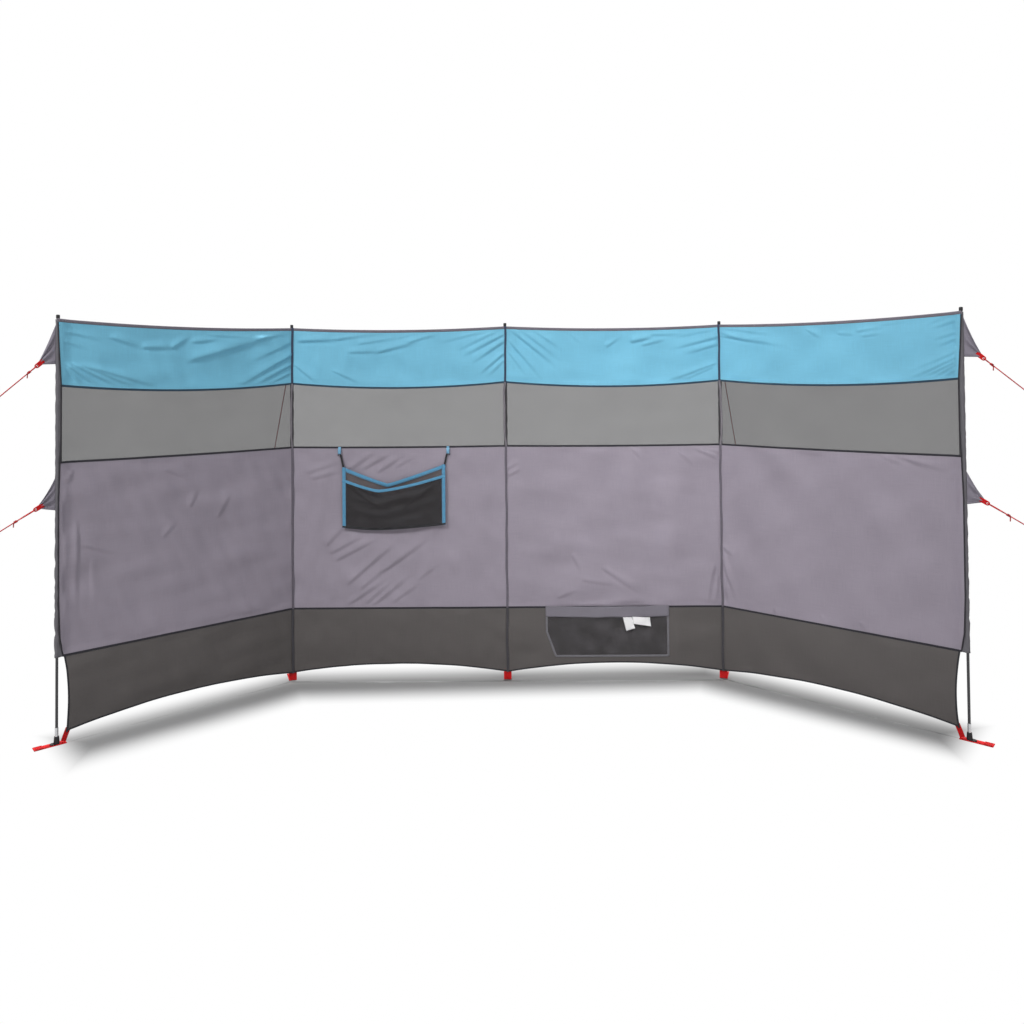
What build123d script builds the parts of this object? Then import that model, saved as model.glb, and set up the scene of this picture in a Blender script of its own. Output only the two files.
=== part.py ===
from build123d import *
import os
from collections import namedtuple
from math import cos, radians, sin, sqrt

# A camping windbreak: four bays of cloth between five upright poles, guyed to pegs.
# Millimetres, +X to the right, +Y away from the sheltered side, +Z up.
# The origin lies on the floor under the centre pole.

# Plan of the bays
BAY_WIDTH = 915.0  # from seam to seam, and from the last seam to the end pole
WING_TURN = 41.0  # degrees that each end bay turns towards the sheltered side
POLE_SETBACK = 14.0  # inner poles stand this far behind the cloth
END_FLAT = 14.0  # flat of an end sleeve, from the pole's axis to the cloth

# Heights at the poles, above the floor
HEM_HEIGHT = 1505.0
POLE_SHOWN = 15.0  # above the hem
TOP_BAND_HEIGHT = 239.0
MESH_BAND_HEIGHT = 273.0
LOWER_SEAM_HEIGHT = 306.0
SKIRT_CORNER_HEIGHT = 34.0
POLE_TIP_HEIGHT = HEM_HEIGHT + POLE_SHOWN
UPPER_SEAM_HEIGHT = HEM_HEIGHT - TOP_BAND_HEIGHT
MIDDLE_SEAM_HEIGHT = UPPER_SEAM_HEIGHT - MESH_BAND_HEIGHT

# How far each edge hangs below its ends in the middle of a bay
HEM_SAG = 12.0
UPPER_SEAM_SAG = 22.0
MIDDLE_SEAM_SAG = 3.0
SKIRT_LIFT = 36.0  # the skirt's lower edge arches up instead

# Cloth and tapes
CLOTH_THICKNESS = 2.0
TAPE_THICKNESS = 3.0
HEM_TAPE = 12.0
SEAM_TAPE = 8.0
SKIRT_TAPE = 6.0
POLE_TAPE_WIDTH = 9.0
POLE_TAPE_THICKNESS = 0.8

# The free edge of a wing's skirt, measured in from the end pole
SKIRT_EDGE_TOP = 22.0
SKIRT_EDGE_WAIST = 36.0
SKIRT_EDGE_CORNER = 30.0

# Poles, their sleeves and end fittings
POLE_RADIUS = 4.75
SLEEVE_RADIUS = 7.5
SLEEVE_WALL = 1.5
SEAM_FIN = 2.0  # sewn edge that joins a sleeve to the cloth
CAP_RADIUS = 6.5
CAP_DEPTH = 14.0
CAP_ROOF = 3.0
FERRULE_RADIUS = 6.0
FERRULE_SHOWN = 31.0
FIT_CLEARANCE = 0.1
SEAT_CLEARANCE = 0.2

# Feet
STRAP_WIDTH = 32.0
STRAP_THICKNESS = 1.6
STRAP_TAIL = 75.0  # beyond the pole's axis
STRAP_FOLD = 30.0
STRAP_SEWN = 14.0  # overlap of strap and skirt
CORNER_TAB_WIDTH = 18.0
CORNER_TAB_FOOT = 12.0  # from the end pole's axis to the foot of the slanting tab
CUP_FLANGE_RADIUS = 10.0
CUP_FLANGE = 3.0
SOLE_LENGTH = 12.0  # that the cup's sole is drawn out by, along the strap
CUP_TOP_RADIUS = 8.0
CUP_HEIGHT = 26.0

# Guys: a cloth gusset on the sleeve, a webbing loop and a rope to the peg
UPPER_GUSSET_DROP = 21.0  # below the hem
UPPER_GUSSET_FALL = 136.0  # from its top to the middle of its tip
UPPER_GUSSET_HEIGHT = 141.0
LOWER_GUSSET_DROP = 53.0  # below the middle seam
LOWER_GUSSET_FALL = 98.0
LOWER_GUSSET_HEIGHT = 116.0
GUSSET_REACH = 46.0
GUSSET_TIP = 14.0
LOOP_THICKNESS = 3.0
LOOP_LENGTH = 18.0
LOOP_END_RADIUS = 8.0
LOOP_HOLE_RADIUS = 3.5
ROPE_RADIUS = 2.0
EYE_RADIUS = 6.0
KNOT_RADIUS = 4.5
INNER_GUY_TURN = 25.0  # degrees outward from straight back, at the two inner corners
END_GUY_RUN = 1500.0  # along the floor, from pole to peg
INNER_GUY_RUN = 1300.0
PEG_RADIUS = 3.0
PEG_HEIGHT = 46.0
PEG_HOOK_RADIUS = 8.0
PEG_HOOK_DROP = 10.0
UPPER_EYE_HEIGHT = 34.0
LOWER_EYE_HEIGHT = 20.0

# Organiser that hangs in the left centre bay, places along the bay from its left seam
ORGANISER_START = 215.0
ORGANISER_WIDTH = 440.0
ORGANISER_DROP = 85.0  # from the middle seam to its top corners
ORGANISER_HEIGHT = 263.0
ORGANISER_SAG = 78.0
ORGANISER_SAG_SHARE = 0.42  # of the width, where the top edge hangs lowest
ORGANISER_STANDOFF = 5.0  # from the cloth's middle plane
ORGANISER_MESH = 1.5
BINDING_WIDTH = 15.0
BINDING_THICKNESS = 3.0
POCKET_DROP = 93.0  # from the organiser's top corners to its pocket
POCKET_BULGE = 24.0
POCKET_MESH = 1.2
HANGER_OUTSET = 12.0  # hanging loops stand this far outside the organiser
HANGER_HEIGHT = 28.0
HANGER_DEPTH = 11.0
HANGER_THICKNESS = 3.0
HANGER_HOLE_RADIUS = 3.2
HOOK_RADIUS = 1.5
HOOK_BEND_RADIUS = 5.0
HOOK_TAIL = 6.0
HOOK_SHANK_WIDTH = 8.0
HOOK_SHANK_LAP = 4.0  # of the shank over the hook's long leg

# Mesh pocket on the skirt of the right centre bay, places along the bay from its left seam
SKIRT_POCKET_START = 172.0
SKIRT_POCKET_WIDTH = 506.0
SKIRT_POCKET_DROP = 6.0  # below the lower seam
SKIRT_POCKET_HEIGHT = 196.0
SKIRT_POCKET_BAND = 30.0
SKIRT_POCKET_BULGE = 16.0
SKIRT_POCKET_SLANT = 38.0  # its left side leans in by this much towards the bottom
SKIRT_POCKET_SLANT_SHARE = 0.6  # of its height, where the left side starts to lean
SKIRT_POCKET_EDGE = 9.0
SKIRT_POCKET_EDGE_THICKNESS = 1.0
TAG_WIDTH = 44.0
TAG_HEIGHT = 52.0
TAG_THICKNESS = 0.8
TAG_SEWN = 8.0
TAG_PLACE_SHARES = (0.66, 0.78)  # of the pocket's width

BAY_NAMES = ("left_wing", "left_centre", "right_centre", "right_wing")
POLE_NAMES = ("left_end", "left_inner", "centre", "right_inner", "right_end")

# An edge of a band: its height at the poles and its sag in mid-bay
BandEdge = namedtuple("BandEdge", "height sag")


def seam_edges(height, sag):
    """The upper and lower edge of a seam tape."""
    return BandEdge(height + SEAM_TAPE / 2, sag), BandEdge(height - SEAM_TAPE / 2, sag)


HEM_TOP = BandEdge(HEM_HEIGHT, HEM_SAG)
HEM_FOOT = BandEdge(HEM_HEIGHT - HEM_TAPE, HEM_SAG)
UPPER_SEAM = seam_edges(UPPER_SEAM_HEIGHT, UPPER_SEAM_SAG)
MIDDLE_SEAM = seam_edges(MIDDLE_SEAM_HEIGHT, MIDDLE_SEAM_SAG)
LOWER_SEAM = seam_edges(LOWER_SEAM_HEIGHT, 0)
SKIRT_FOOT = BandEdge(SKIRT_CORNER_HEIGHT, -SKIRT_LIFT)
SKIRT_TAPE_TOP = BandEdge(SKIRT_CORNER_HEIGHT + SKIRT_TAPE, -SKIRT_LIFT)

# Plan points: the five places where the cloth meets a pole, from left to right
wing = radians(WING_TURN)
wing_run = Vector(BAY_WIDTH * cos(wing), -BAY_WIDTH * sin(wing))
left_corner = Vector(-BAY_WIDTH, -POLE_SETBACK)
centre_seam = Vector(0, -POLE_SETBACK)
right_corner = Vector(BAY_WIDTH, -POLE_SETBACK)
left_end = left_corner + Vector(-wing_run.X, wing_run.Y)
right_end = right_corner + wing_run
CORNERS = (left_end, left_corner, centre_seam, right_corner, right_end)
CORNER_TURNS = (0, wing, 0, wing, 0)
END_BAYS = (0, len(BAY_NAMES) - 1)
END_POLES = (0, len(POLE_NAMES) - 1)


def bay_plane(bay):
    """Upright plane of a bay: x along it, y up, normal towards the sheltered side."""
    run = (CORNERS[bay + 1] - CORNERS[bay]).normalized()
    return Plane(origin=CORNERS[bay], x_dir=run, z_dir=Vector(run.Y, -run.X))


def level_plane(bay, height):
    """Level plane in a bay: x along it, y away from the sheltered side."""
    run = (CORNERS[bay + 1] - CORNERS[bay]).normalized()
    return Plane(origin=CORNERS[bay] + Vector(0, 0, height), x_dir=run, z_dir=Vector(0, 0, 1))


def bay_ends(bay):
    """Where the cloth of a bay starts and ends along it, clear of the sleeves' sewn edges."""
    insets = []
    for corner in (bay, bay + 1):
        half_turn = CORNER_TURNS[corner] / 2
        seam_inset = (SEAM_FIN / 2 + TAPE_THICKNESS / 2 * sin(half_turn)) / cos(half_turn)
        insets.append(END_FLAT if corner in END_POLES else seam_inset)
    return insets[0], BAY_WIDTH - insets[1]


def toward_cloth(pole):
    """Level direction from a pole to the cloth that its sleeve is sewn to."""
    if pole == END_POLES[0]:
        return (CORNERS[1] - CORNERS[0]).normalized()
    if pole == END_POLES[1]:
        return (CORNERS[-2] - CORNERS[-1]).normalized()
    before = (CORNERS[pole] - CORNERS[pole - 1]).normalized()
    after = (CORNERS[pole + 1] - CORNERS[pole]).normalized()
    run = (before + after).normalized()
    return Vector(run.Y, -run.X)


def pole_foot(pole):
    """Point on the floor under a pole."""
    if pole in END_POLES:
        return CORNERS[pole]
    return CORNERS[pole] - toward_cloth(pole) * POLE_SETBACK


def upright_plane(pole, outward):
    """Upright plane through a pole: x outward along the floor, y up."""
    return Plane(origin=pole_foot(pole), x_dir=outward, z_dir=Vector(outward.Y, -outward.X))


def guy_direction(pole):
    """End guys carry on the line of their wing, inner guys pull back and outward."""
    if pole in END_POLES:
        return -toward_cloth(pole)
    side = pole - len(POLE_NAMES) // 2
    turn = radians(INNER_GUY_TURN) * side
    return Vector(sin(turn), cos(turn))


def hanging_edge(start, end, edge):
    """Draws one edge of cloth: straight, or an arc that hangs between its ends."""
    if edge.sag:
        middle = ((start + end) / 2, edge.height - edge.sag)
        ThreePointArc((start, edge.height), middle, (end, edge.height))
    else:
        Line((start, edge.height), (end, edge.height))


def cloth_band(bay, top, bottom, thickness):
    """A strip of cloth between two hanging edges, centred on the bay's plane."""
    start, end = bay_ends(bay)
    with BuildPart() as strip:
        with BuildSketch(bay_plane(bay)):
            with BuildLine():
                hanging_edge(start, end, bottom)
                Line((end, bottom.height), (end, top.height))
                hanging_edge(end, start, top)
                Line((start, top.height), (start, bottom.height))
            make_face()
        extrude(amount=thickness / 2, both=True)
    return strip.part


def wing_edge(inset, foot):
    """The free edge of the left wing's skirt, from the lower seam to the corner."""
    top = LOWER_SEAM[1].height
    waist_height = (top + foot.height) / 2
    return (
        (SKIRT_EDGE_TOP + inset, top),
        (SKIRT_EDGE_WAIST + inset, waist_height),
        (SKIRT_EDGE_CORNER + inset, foot.height),
    )


def wing_skirt():
    """Skirt of the left wing, with its hollowed free edge."""
    end = bay_ends(0)[1]
    edge = wing_edge(SKIRT_TAPE, SKIRT_TAPE_TOP)
    with BuildPart() as skirt:
        with BuildSketch(bay_plane(0)):
            with BuildLine():
                ThreePointArc(*edge)
                hanging_edge(edge[2][0], end, SKIRT_TAPE_TOP)
                Line((end, SKIRT_TAPE_TOP.height), (end, LOWER_SEAM[1].height))
                hanging_edge(end, edge[0][0], LOWER_SEAM[1])
            make_face()
        extrude(amount=CLOTH_THICKNESS / 2, both=True)
    return skirt.part


def wing_skirt_tape():
    """Bound edge of the left wing's skirt: down the free edge and along the foot."""
    end = bay_ends(0)[1]
    outer = wing_edge(0, SKIRT_FOOT)
    inner = wing_edge(SKIRT_TAPE, SKIRT_TAPE_TOP)
    with BuildPart() as tape:
        with BuildSketch(bay_plane(0)):
            with BuildLine():
                ThreePointArc(*outer)
                hanging_edge(outer[2][0], end, SKIRT_FOOT)
                Line((end, SKIRT_FOOT.height), (end, SKIRT_TAPE_TOP.height))
                hanging_edge(end, inner[2][0], SKIRT_TAPE_TOP)
                ThreePointArc(*reversed(inner))
                Line(inner[0], outer[0])
            make_face()
        extrude(amount=TAPE_THICKNESS / 2, both=True)
    return tape.part


def bend_fall(radius, half_width):
    """How far the inside of a round bend falls away across half the width that it bears on."""
    return radius - sqrt(radius**2 - half_width**2)


def mirrored(piece):
    """The right-hand twin of a left-hand piece."""
    with BuildPart() as twin:
        mirror(piece, about=Plane.YZ)
    return twin.part


def gathered(pieces):
    """Like pieces that share a node."""
    with BuildPart() as group:
        for piece in pieces:
            add(piece)
    return group.part


def pole_tape(pole):
    """Tape over the seam in front of an inner pole, bent to the turn of the bays."""
    before = (CORNERS[pole] - CORNERS[pole - 1]).normalized()
    after = (CORNERS[pole + 1] - CORNERS[pole]).normalized()
    front_before = Vector(before.Y, -before.X)
    front_after = Vector(after.Y, -after.X)
    inner_depth = TAPE_THICKNESS / 2
    outer_depth = inner_depth + POLE_TAPE_THICKNESS
    reach = POLE_TAPE_WIDTH / 2
    fold = toward_cloth(pole) / cos(CORNER_TURNS[pole] / 2)
    seam = CORNERS[pole]
    outline = (
        seam - before * reach + front_before * inner_depth,
        seam + fold * inner_depth,
        seam + after * reach + front_after * inner_depth,
        seam + after * reach + front_after * outer_depth,
        seam + fold * outer_depth,
        seam - before * reach + front_before * outer_depth,
    )
    with BuildPart() as tape:
        with BuildSketch(Plane.XY.offset(SKIRT_CORNER_HEIGHT)):
            with BuildLine():
                Polyline(*[(point.X, point.Y) for point in outline], close=True)
            make_face()
        extrude(amount=HEM_HEIGHT - SKIRT_CORNER_HEIGHT)
    return tape.part


# Poles stand in moulded foot cups on the straps
CUP_FLOOR = STRAP_THICKNESS + CUP_FLANGE
CUP_TOP = STRAP_THICKNESS + CUP_HEIGHT
POLE_TOP = POLE_TIP_HEIGHT - CAP_ROOF


def pole_rod(pole):
    """Fibreglass rod, from the floor of its cup to the roof of its cap."""
    with BuildPart() as rod:
        with BuildSketch(Plane(pole_foot(pole)).offset(CUP_FLOOR)):
            Circle(POLE_RADIUS)
        extrude(amount=POLE_TOP - CUP_FLOOR)
    return rod.part


def pole_cap(pole):
    """Domed cap pushed over the top of a pole."""
    with BuildPart() as cap:
        with BuildSketch(Plane(pole_foot(pole)).offset(POLE_TIP_HEIGHT - CAP_DEPTH)):
            Circle(CAP_RADIUS)
        extrude(amount=CAP_DEPTH)
        fillet(cap.faces().sort_by(Axis.Z)[-1].edges(), radius=CAP_ROOF)
        with BuildSketch(Plane(pole_foot(pole)).offset(POLE_TIP_HEIGHT - CAP_DEPTH)):
            Circle(POLE_RADIUS + FIT_CLEARANCE)
        extrude(amount=CAP_DEPTH - CAP_ROOF, mode=Mode.SUBTRACT)
    return cap.part


def pole_ferrule(pole):
    """Metal tube round the foot of a pole."""
    with BuildPart() as ferrule:
        with BuildSketch(Plane(pole_foot(pole)).offset(CUP_FLOOR)):
            Circle(FERRULE_RADIUS)
            Circle(POLE_RADIUS + FIT_CLEARANCE, mode=Mode.SUBTRACT)
        extrude(amount=CUP_TOP + FERRULE_SHOWN - CUP_FLOOR)
    return ferrule.part


def foot_cup(pole):
    """Moulded cup: a tapered socket on a sole that is drawn out along the strap."""
    socket_radius = FERRULE_RADIUS + FIT_CLEARANCE
    outward = -toward_cloth(pole)
    foot = Plane(origin=pole_foot(pole), x_dir=outward, z_dir=Vector(0, 0, 1))
    with BuildPart(foot) as cup:
        with BuildSketch(foot.offset(STRAP_THICKNESS)):
            with Locations((SOLE_LENGTH / 2, 0)):
                SlotCenterToCenter(SOLE_LENGTH, CUP_FLANGE_RADIUS * 2)
        extrude(amount=CUP_FLANGE)
        with BuildSketch(upright_plane(pole, outward)):
            with BuildLine():
                Polyline(
                    (0, STRAP_THICKNESS),
                    (CUP_FLANGE_RADIUS, STRAP_THICKNESS),
                    (CUP_FLANGE_RADIUS, CUP_FLOOR),
                    (CUP_TOP_RADIUS, CUP_TOP),
                    (socket_radius, CUP_TOP),
                    (socket_radius, CUP_FLOOR),
                    (0, CUP_FLOOR),
                    close=True,
                )
            make_face()
        revolve(axis=Axis(pole_foot(pole), (0, 0, 1)))
    return cup.part


def pole_sleeve(pole):
    """Cloth tunnel round a pole, narrowing to the edge that is sewn into the seam."""
    if pole in END_POLES:
        reach = END_FLAT
        neck = END_FLAT - SEAM_FIN * 2
    else:
        reach = POLE_SETBACK + CLOTH_THICKNESS / 2
        neck = POLE_SETBACK - (TAPE_THICKNESS + SEAM_FIN) / 2
    foot = Plane(origin=pole_foot(pole), x_dir=toward_cloth(pole), z_dir=Vector(0, 0, 1))
    with BuildPart() as sleeve:
        with BuildSketch(foot.offset(LOWER_SEAM_HEIGHT)):
            Circle(SLEEVE_RADIUS)
            with Locations((neck, 0)):
                Circle(SEAM_FIN / 2)
            make_hull()
            with Locations(((neck + reach) / 2, 0)):
                Rectangle(reach - neck, SEAM_FIN)
            Circle(SLEEVE_RADIUS - SLEEVE_WALL, mode=Mode.SUBTRACT)
        extrude(amount=HEM_HEIGHT - LOWER_SEAM_HEIGHT)
    return sleeve.part


def inner_foot_strap(pole):
    """Webbing from the skirt's foot, down to the floor and back under the cup."""
    riser_back = -POLE_SETBACK + TAPE_THICKNESS / 2 + STRAP_THICKNESS
    riser_front = riser_back - STRAP_THICKNESS
    riser_top = SKIRT_CORNER_HEIGHT + STRAP_SEWN
    with BuildPart() as strap:
        with BuildSketch(upright_plane(pole, -toward_cloth(pole))):
            with BuildLine():
                Polyline(
                    (riser_front, 0),
                    (STRAP_TAIL, 0),
                    (STRAP_TAIL, STRAP_THICKNESS * 2),
                    (STRAP_TAIL - STRAP_FOLD, STRAP_THICKNESS * 2),
                    (STRAP_TAIL - STRAP_FOLD, STRAP_THICKNESS),
                    (riser_back, STRAP_THICKNESS),
                    (riser_back, riser_top),
                    (riser_front, riser_top),
                    close=True,
                )
            make_face()
        extrude(amount=STRAP_WIDTH / 2, both=True)
    return strap.part


def end_foot_strap():
    """The left end's webbing: flat under the cup, with a tab that slants up behind the skirt's corner."""
    inner_end = -CORNER_TAB_FOOT - CORNER_TAB_WIDTH
    tab_top = SKIRT_CORNER_HEIGHT + STRAP_SEWN
    strap_plane = upright_plane(0, -toward_cloth(0))
    with BuildPart() as strap:
        with BuildSketch(strap_plane):
            with BuildLine():
                Polyline(
                    (inner_end, 0),
                    (STRAP_TAIL, 0),
                    (STRAP_TAIL, STRAP_THICKNESS * 2),
                    (STRAP_TAIL - STRAP_FOLD, STRAP_THICKNESS * 2),
                    (STRAP_TAIL - STRAP_FOLD, STRAP_THICKNESS),
                    (inner_end, STRAP_THICKNESS),
                    close=True,
                )
            make_face()
        extrude(amount=STRAP_WIDTH / 2, both=True)
        with BuildSketch(bay_plane(0).offset(-TAPE_THICKNESS / 2)):
            with BuildLine():
                Polyline(
                    (CORNER_TAB_FOOT, 0),
                    (CORNER_TAB_FOOT + CORNER_TAB_WIDTH, 0),
                    (SKIRT_EDGE_CORNER + CORNER_TAB_WIDTH, tab_top),
                    (SKIRT_EDGE_CORNER, tab_top),
                    close=True,
                )
            make_face()
        extrude(amount=-STRAP_THICKNESS)
    return strap.part


UPPER_GUSSET_TOP = HEM_HEIGHT - UPPER_GUSSET_DROP
LOWER_GUSSET_TOP = MIDDLE_SEAM_HEIGHT - LOWER_GUSSET_DROP
Guy = namedtuple("Guy", "top fall height eye")
GUYS = {
    "upper": Guy(UPPER_GUSSET_TOP, UPPER_GUSSET_FALL, UPPER_GUSSET_HEIGHT, UPPER_EYE_HEIGHT),
    "lower": Guy(LOWER_GUSSET_TOP, LOWER_GUSSET_FALL, LOWER_GUSSET_HEIGHT, LOWER_EYE_HEIGHT),
}


def guy_run(pole):
    return END_GUY_RUN if pole in END_POLES else INNER_GUY_RUN


def gusset_tip(guy):
    """Middle of a gusset's tip in the guy's upright plane."""
    return Vector(SLEEVE_RADIUS + GUSSET_REACH, guy.top - guy.fall)


def rope_line(pole, guy):
    """Unit direction of a rope, down from the gusset's tip, and the loop's hole on it."""
    tip = gusset_tip(guy)
    peg_side = Vector(guy_run(pole) - PEG_RADIUS - ROPE_RADIUS, guy.eye)
    along = (peg_side - tip).normalized()
    return along, tip + along * LOOP_LENGTH


def guy_gusset(pole, guy):
    """Triangle of cloth that spreads a guy's pull along the sleeve."""
    root = SLEEVE_RADIUS + SEAT_CLEARANCE
    tip = gusset_tip(guy)
    with BuildPart() as gusset:
        with BuildSketch(upright_plane(pole, guy_direction(pole))):
            with BuildLine():
                Polyline(
                    (root, guy.top),
                    (tip.X, tip.Y + GUSSET_TIP / 2),
                    (tip.X, tip.Y - GUSSET_TIP / 2),
                    (root, guy.top - guy.height),
                    close=True,
                )
            make_face()
        extrude(amount=CLOTH_THICKNESS / 2, both=True)
    return gusset.part


def guy_loop(pole, guy):
    """Webbing loop at a gusset's tip, with the hole that the rope goes through."""
    tip = gusset_tip(guy)
    hole = rope_line(pole, guy)[1]
    with BuildPart() as loop:
        with BuildSketch(upright_plane(pole, guy_direction(pole))):
            with BuildLine():
                Line((tip.X, tip.Y - GUSSET_TIP / 2), (tip.X, tip.Y + GUSSET_TIP / 2))
            with Locations((hole.X, hole.Y)):
                Circle(LOOP_END_RADIUS)
            make_hull()
            with Locations((hole.X, hole.Y)):
                Circle(LOOP_HOLE_RADIUS, mode=Mode.SUBTRACT)
        extrude(amount=LOOP_THICKNESS / 2, both=True)
    return loop.part


def guy_rope(pole, guy):
    """Taut rope: an eye through the loop, a knot, the straight run, and an eye round the peg."""
    plane = upright_plane(pole, guy_direction(pole))
    along, hole = rope_line(pole, guy)
    eye_fall = bend_fall(EYE_RADIUS - ROPE_RADIUS, LOOP_THICKNESS / 2)
    bearing = LOOP_HOLE_RADIUS - ROPE_RADIUS - SEAT_CLEARANCE - eye_fall
    eye_centre = hole + along * (bearing + EYE_RADIUS)
    knot = eye_centre + along * EYE_RADIUS
    peg_eye_radius = PEG_RADIUS + ROPE_RADIUS + SEAT_CLEARANCE
    peg_axis = Vector(guy_run(pole), guy.eye)
    peg_knot = Vector(guy_run(pole) - peg_eye_radius, guy.eye)
    run = peg_knot - knot
    direction = plane.from_local_coords(run) - plane.origin
    across = Vector(-along.Y, along.X)
    eye_axis = plane.from_local_coords(across) - plane.origin
    with BuildPart() as rope:
        with Locations(Plane(origin=plane.from_local_coords(eye_centre), z_dir=eye_axis)):
            Torus(EYE_RADIUS, ROPE_RADIUS)
        with Locations(plane.from_local_coords(knot)):
            Sphere(KNOT_RADIUS)
        with BuildSketch(Plane(origin=plane.from_local_coords(knot), z_dir=direction)):
            Circle(ROPE_RADIUS)
        extrude(amount=run.length)
        with Locations(plane.from_local_coords(peg_knot)):
            Sphere(ROPE_RADIUS + SEAT_CLEARANCE)
        with Locations(plane.from_local_coords(peg_axis)):
            Torus(peg_eye_radius, ROPE_RADIUS)
    return rope.part


def guy_peg(pole):
    """Head of a hooked peg, from the floor up, with its hook turned away from the pole."""
    run = guy_run(pole)
    bend = (run, PEG_HEIGHT)
    bend_top = (run + PEG_HOOK_RADIUS, PEG_HEIGHT + PEG_HOOK_RADIUS)
    bend_end = (run + PEG_HOOK_RADIUS * 2, PEG_HEIGHT)
    with BuildPart() as peg:
        with BuildLine(upright_plane(pole, guy_direction(pole))):
            Line((run, 0), bend)
            ThreePointArc(bend, bend_top, bend_end)
            Line(bend_end, (bend_end[0], PEG_HEIGHT - PEG_HOOK_DROP))
        with BuildSketch(Plane(pole_foot(pole) + guy_direction(pole) * run)):
            Circle(PEG_RADIUS)
        sweep()
    return peg.part


def bulged_strip(bay, height, start, end, depth, bulge, thickness):
    """Level outline of a sheet that bulges towards the sheltered side between its two ends."""
    middle = (start + end) / 2
    front = depth + thickness
    with BuildSketch(level_plane(bay, height)) as outline:
        with BuildLine():
            if bulge:
                ThreePointArc((start, -depth), (middle, -depth - bulge), (end, -depth))
                ThreePointArc((end, -front), (middle, -front - bulge), (start, -front))
            else:
                Line((start, -depth), (end, -depth))
                Line((end, -front), (start, -front))
            Line((end, -depth), (end, -front))
            Line((start, -front), (start, -depth))
        make_face()
    return outline.sketch


# Organiser: a mesh back held by blue binding, with one wide mesh pocket
ORGANISER_BAY = BAY_NAMES.index("left_centre")
ORGANISER_END = ORGANISER_START + ORGANISER_WIDTH
ORGANISER_TOP = MIDDLE_SEAM_HEIGHT - ORGANISER_DROP
ORGANISER_BOTTOM = ORGANISER_TOP - ORGANISER_HEIGHT
POCKET_TOP = ORGANISER_TOP - POCKET_DROP
BINDING_FRONT = ORGANISER_STANDOFF + (ORGANISER_MESH + BINDING_THICKNESS) / 2
ORGANISER_MIDDLE = ORGANISER_STANDOFF + ORGANISER_MESH / 2


def organiser_top_edge(inset):
    """Three points of the organiser's hanging top edge, set in by the binding or not."""
    lowest = ORGANISER_START + ORGANISER_WIDTH * ORGANISER_SAG_SHARE
    return (
        (ORGANISER_START + inset, ORGANISER_TOP - inset),
        (lowest, ORGANISER_TOP - ORGANISER_SAG - inset),
        (ORGANISER_END - inset, ORGANISER_TOP - inset),
    )


def organiser_back():
    left, lowest, right = organiser_top_edge(BINDING_WIDTH)
    with BuildPart() as back:
        with BuildSketch(bay_plane(ORGANISER_BAY).offset(ORGANISER_STANDOFF)):
            with BuildLine():
                ThreePointArc(left, lowest, right)
                Polyline(right, (right[0], ORGANISER_BOTTOM), (left[0], ORGANISER_BOTTOM), left)
            make_face()
        extrude(amount=ORGANISER_MESH)
    return back.part


def organiser_frame_binding():
    outer = organiser_top_edge(0)
    inner = organiser_top_edge(BINDING_WIDTH)
    with BuildPart() as binding:
        with BuildSketch(bay_plane(ORGANISER_BAY).offset(ORGANISER_MIDDLE)):
            with BuildLine():
                ThreePointArc(*outer)
                Polyline(
                    outer[2],
                    (outer[2][0], ORGANISER_BOTTOM),
                    (inner[2][0], ORGANISER_BOTTOM),
                    inner[2],
                )
                ThreePointArc(*reversed(inner))
                Polyline(
                    inner[0],
                    (inner[0][0], ORGANISER_BOTTOM),
                    (outer[0][0], ORGANISER_BOTTOM),
                    outer[0],
                )
            make_face()
        extrude(amount=BINDING_THICKNESS / 2, both=True)
    return binding.part


def organiser_pocket():
    sheet = (ORGANISER_START, ORGANISER_END, BINDING_FRONT)
    with BuildPart() as pocket:
        add(bulged_strip(ORGANISER_BAY, ORGANISER_BOTTOM, *sheet, 0, POCKET_MESH))
        add(bulged_strip(ORGANISER_BAY, POCKET_TOP, *sheet, POCKET_BULGE, POCKET_MESH))
        loft()
    return pocket.part


def organiser_pocket_binding():
    sheet = (ORGANISER_START, ORGANISER_END, BINDING_FRONT)
    with BuildPart() as binding:
        add(bulged_strip(ORGANISER_BAY, POCKET_TOP, *sheet, POCKET_BULGE, POCKET_MESH))
        extrude(amount=BINDING_WIDTH, dir=(0, 0, 1))
    return binding.part


HANGER_PLACES = (ORGANISER_START - HANGER_OUTSET, ORGANISER_END + HANGER_OUTSET)
HANGER_FRONT = TAPE_THICKNESS / 2
HANGER_HOLE_DEPTH = HANGER_FRONT + HANGER_DEPTH / 2
HANGER_HOLE_HEIGHT = MIDDLE_SEAM_HEIGHT - MIDDLE_SEAM_SAG - HANGER_HEIGHT + HANGER_DEPTH / 2


def organiser_hanger(place):
    """Webbing loop that stands out from the middle seam."""
    cloth = bay_plane(ORGANISER_BAY)
    side = Plane(origin=cloth.from_local_coords(Vector(place, 0)), x_dir=cloth.z_dir, z_dir=-cloth.x_dir)
    with BuildPart() as hanger:
        with BuildSketch(side):
            with Locations((HANGER_FRONT, MIDDLE_SEAM_HEIGHT - MIDDLE_SEAM_SAG)):
                Rectangle(HANGER_DEPTH, HANGER_HEIGHT, align=(Align.MIN, Align.MAX))
            with Locations((HANGER_HOLE_DEPTH, HANGER_HOLE_HEIGHT)):
                Circle(HANGER_HOLE_RADIUS, mode=Mode.SUBTRACT)
        extrude(amount=HANGER_THICKNESS / 2, both=True)
    return hanger.part


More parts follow.
